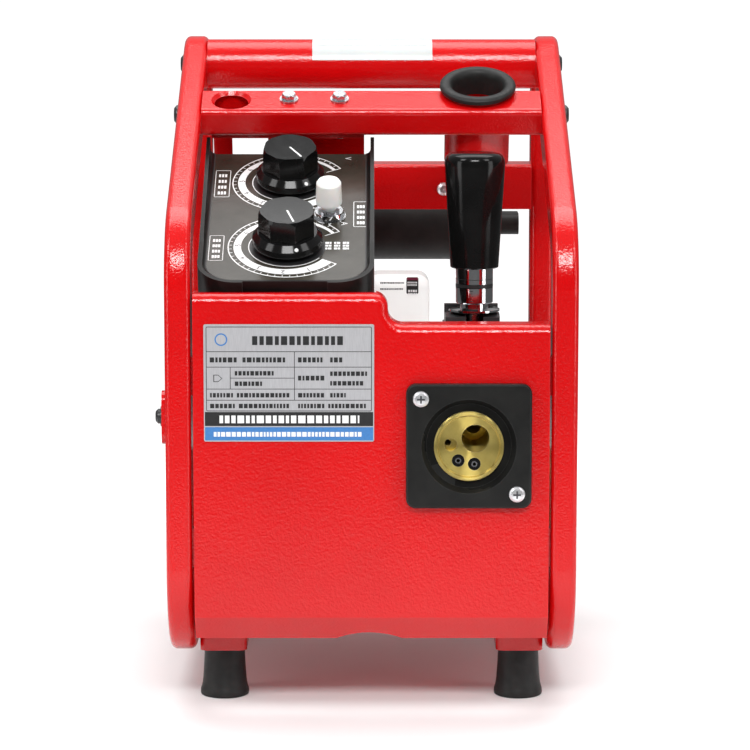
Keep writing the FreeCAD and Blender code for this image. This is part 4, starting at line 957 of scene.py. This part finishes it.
def studio_world():
    """White to the camera; a room that is bright overhead and behind and dim in front for reflections."""
    world = bpy.data.worlds.new("studio")
    bpy.context.scene.world = world
    world.use_nodes = True
    tree = world.node_tree
    tree.nodes.clear()
    out = tree.nodes.new("ShaderNodeOutputWorld")
    room = tree.nodes.new("ShaderNodeBackground")
    plain = tree.nodes.new("ShaderNodeBackground")
    plain.inputs["Color"].default_value = (1, 1, 1, 1)
    mix = tree.nodes.new("ShaderNodeMixShader")
    path = tree.nodes.new("ShaderNodeLightPath")
    coords = tree.nodes.new("ShaderNodeTexCoord")
    split = tree.nodes.new("ShaderNodeSeparateXYZ")
    total = tree.nodes.new("ShaderNodeMath")
    total.operation = "MULTIPLY_ADD"
    total.inputs[1].default_value = 0.45
    ramp = tree.nodes.new("ShaderNodeValToRGB")
    ramp.color_ramp.elements[0].position = 0.0
    ramp.color_ramp.elements[0].color = (0.035, 0.035, 0.035, 1)
    ramp.color_ramp.elements[1].position = 0.8
    ramp.color_ramp.elements[1].color = (0.42, 0.42, 0.42, 1)
    tree.links.new(coords.outputs["Generated"], split.inputs["Vector"])
    tree.links.new(split.outputs["Y"], total.inputs[0])
    tree.links.new(split.outputs["Z"], total.inputs[2])
    tree.links.new(total.outputs[0], ramp.inputs["Fac"])
    tree.links.new(ramp.outputs["Color"], room.inputs["Color"])
    tree.links.new(path.outputs["Is Camera Ray"], mix.inputs["Fac"])
    tree.links.new(room.outputs[0], mix.inputs[1])
    tree.links.new(plain.outputs[0], mix.inputs[2])
    tree.links.new(mix.outputs[0], out.inputs["Surface"])


def camera():
    """Long lens a little above the machine, looking slightly down at it."""
    data = bpy.data.cameras.new("camera")
    data.sensor_width = 36.0
    data.lens = CAMERA_LENS
    data.shift_x = CAMERA_SHIFT
    data.clip_end = 200
    obj = bpy.data.objects.new("camera", data)
    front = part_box("front_panel")[0].y
    obj.location = (0.0, front - CAMERA_BACK, CAMERA_HIGH)
    obj.rotation_euler = (CAMERA_PITCH, 0, 0)
    bpy.context.scene.collection.objects.link(obj)
    bpy.context.scene.camera = obj


def studio():
    pale_floor()
    studio_world()
    for light in LIGHTS:
        area_light(*light)
    bpy.context.scene.view_settings.view_transform = "Standard"


finish_cad_nodes()
contact_colours()
socket_shadow()
screw_recesses()
control_print()
knob_marks(VOLTAGE, -59.0, "voltage_knob")
knob_marks(CURRENT, -73.0, "current_knob")
rating_plate_print()
rubber_feet()
torch_grommet()
barrel_rings()
pressure_spring()
relay_details()
sticker_marks()
studio()
camera()
